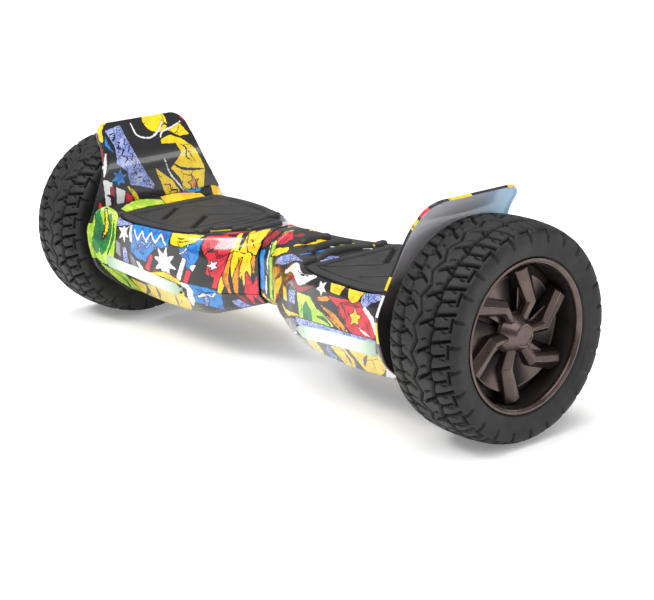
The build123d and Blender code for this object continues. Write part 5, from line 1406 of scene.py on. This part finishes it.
def bezel(name, centre, profile):
    """Ring turned about Y: profile rows are (y, radius)."""
    profile = rounded_path(profile, 0.7, 3)
    a = np.arange(BEZEL_AROUND) / BEZEL_AROUND * 2 * np.pi
    x = centre[0] + profile[:, 1:] * np.cos(a)
    z = centre[1] + profile[:, 1:] * np.sin(a)
    y = np.repeat(profile[:, :1], BEZEL_AROUND, 1)
    faces = grid_faces(len(profile), BEZEL_AROUND, wrap_rows=True, wrap_cols=True)
    port_part(name, np.stack([x, y, z], -1), faces, 40.0)


bezel("button_bezel", BUTTON, [(76.0, 7.35), (76.0, 10.6), (80.0, 11.0), (85.0, 11.0), (85.0, 9.4), (83.6, 7.35)])
bezel("port_bezel", PORT, [(76.0, 10.05), (76.0, 13.0), (80.0, 13.3), (88.0, 13.3), (88.0, 10.05)])
eye = [(LUG_EYE[0] + LUG_RADIUS * math.cos(t), LUG_EYE[1] + LUG_RADIUS * math.sin(t))
       for t in np.linspace(0, np.pi, 13)]
outline = eye + LUG_FOOT
for name, offset in (("port_lug_a", -LUG_OFFSET), ("port_lug_b", LUG_OFFSET)):
    k = len(outline)
    points = [(PORT[0] + offset + half, y, z) for half in (-LUG_HALF, LUG_HALF) for y, z in outline]
    faces = [tuple(range(k)), tuple(range(2 * k - 1, k - 1, -1))]
    faces += [(i, (i + 1) % k, k + (i + 1) % k, k + i) for i in range(k)]
    port_part(name, points, faces, 30.0)

# ---- the finishes of the carried-over nodes ----
for row in frame["record"]["subparts"]:
    mesh = frame["nodes"][row["node"]].data
    mesh.materials.clear()
    mesh.materials.append(FINISHES[row["material_slot"]])

# ---- floor, light and camera ----
FLOOR_HALF = 30.0
floor_mesh = bpy.data.meshes.new("floor")
corners = [(FLOOR_HALF * x, FLOOR_HALF * y, 0) for x, y in ((-1, -1), (1, -1), (1, 1), (-1, 1))]
floor_mesh.from_pydata(corners, [], [(0, 1, 2, 3)])
floor = bpy.data.objects.new("floor", floor_mesh)
bpy.context.scene.collection.objects.link(floor)
paper = bpy.data.materials.new("paper")
paper.use_nodes = True
set_shader(paper.node_tree.nodes["Principled BSDF"], Base_Color=(0.98, 0.98, 0.98, 1), Roughness=0.9,
           Specular_IOR_Level=0.1, Emission_Color=(1.0, 1.0, 1.0, 1), Emission_Strength=0.2)
floor_mesh.materials.append(paper)

world = bpy.data.worlds.new("studio")
world.use_nodes = True
set_shader(world.node_tree.nodes["Background"], Color=(1.0, 1.0, 1.0, 1), Strength=0.38)
bpy.context.scene.world = world
bpy.context.scene.view_settings.view_transform = "Standard"


def hang(name, data, place, direction):
    """Places a light or the like so that it shines along a direction."""
    holder = bpy.data.objects.new(name, data)
    holder.location = place
    holder.rotation_euler = Vector(direction).to_track_quat("-Z", "Y").to_euler()
    bpy.context.scene.collection.objects.link(holder)


# (name, place, target, size, watts)
AREA_LIGHTS = (
    ("key", (-0.9, -1.8, 2.3), (0, 0, 0.1), (1.0, 0.7), 34.0),
    ("strip", (2.5, 2.0, 1.05), (-0.25, 0, 0.2), (3.2, 0.5), 22.0),
    ("top", (0.0, 0.2, 2.4), (0, 0, 0.1), (2.2, 0.9), 22.0),
)
for name, place, target, size, watts in AREA_LIGHTS:
    light = bpy.data.lights.new(name, "AREA")
    light.shape = "RECTANGLE"
    light.size, light.size_y = size
    light.energy = watts
    hang(name, light, place, Vector(target) - Vector(place))
sun = bpy.data.lights.new("sun", "SUN")
sun.energy = 1.55
sun.angle = math.radians(60.0)
hang("sun", sun, (0, 0, 0), (-0.25, 0.45, -1.0))

CAMERA_TARGET = (-0.16288, 0.18147, -0.00038)
CAMERA_DISTANCE = 2.2196
CAMERA_LENS = 100.59633
CAMERA_SENSOR = 36.0
azimuth, elevation, roll = (math.radians(v) for v in (50.54, 16.34, -1.63))
level = math.cos(elevation)
back = Vector((math.sin(azimuth) * level, -math.cos(azimuth) * level, math.sin(elevation)))
right = (-back).cross(Vector((0, 0, 1))).normalized()
up = right.cross(-back)
right_rolled = math.cos(roll) * right + math.sin(roll) * up
up_rolled = math.cos(roll) * up - math.sin(roll) * right
camera_data = bpy.data.cameras.new("camera")
camera_data.lens = CAMERA_LENS
camera_data.sensor_width = CAMERA_SENSOR
camera_data.clip_end = 50.0
camera = bpy.data.objects.new("camera", camera_data)
turn = Matrix((right_rolled, up_rolled, back)).transposed()
camera.matrix_world = Matrix.Translation(Vector(CAMERA_TARGET) + back * CAMERA_DISTANCE) @ turn.to_4x4()
bpy.context.scene.collection.objects.link(camera)
bpy.context.scene.camera = camera
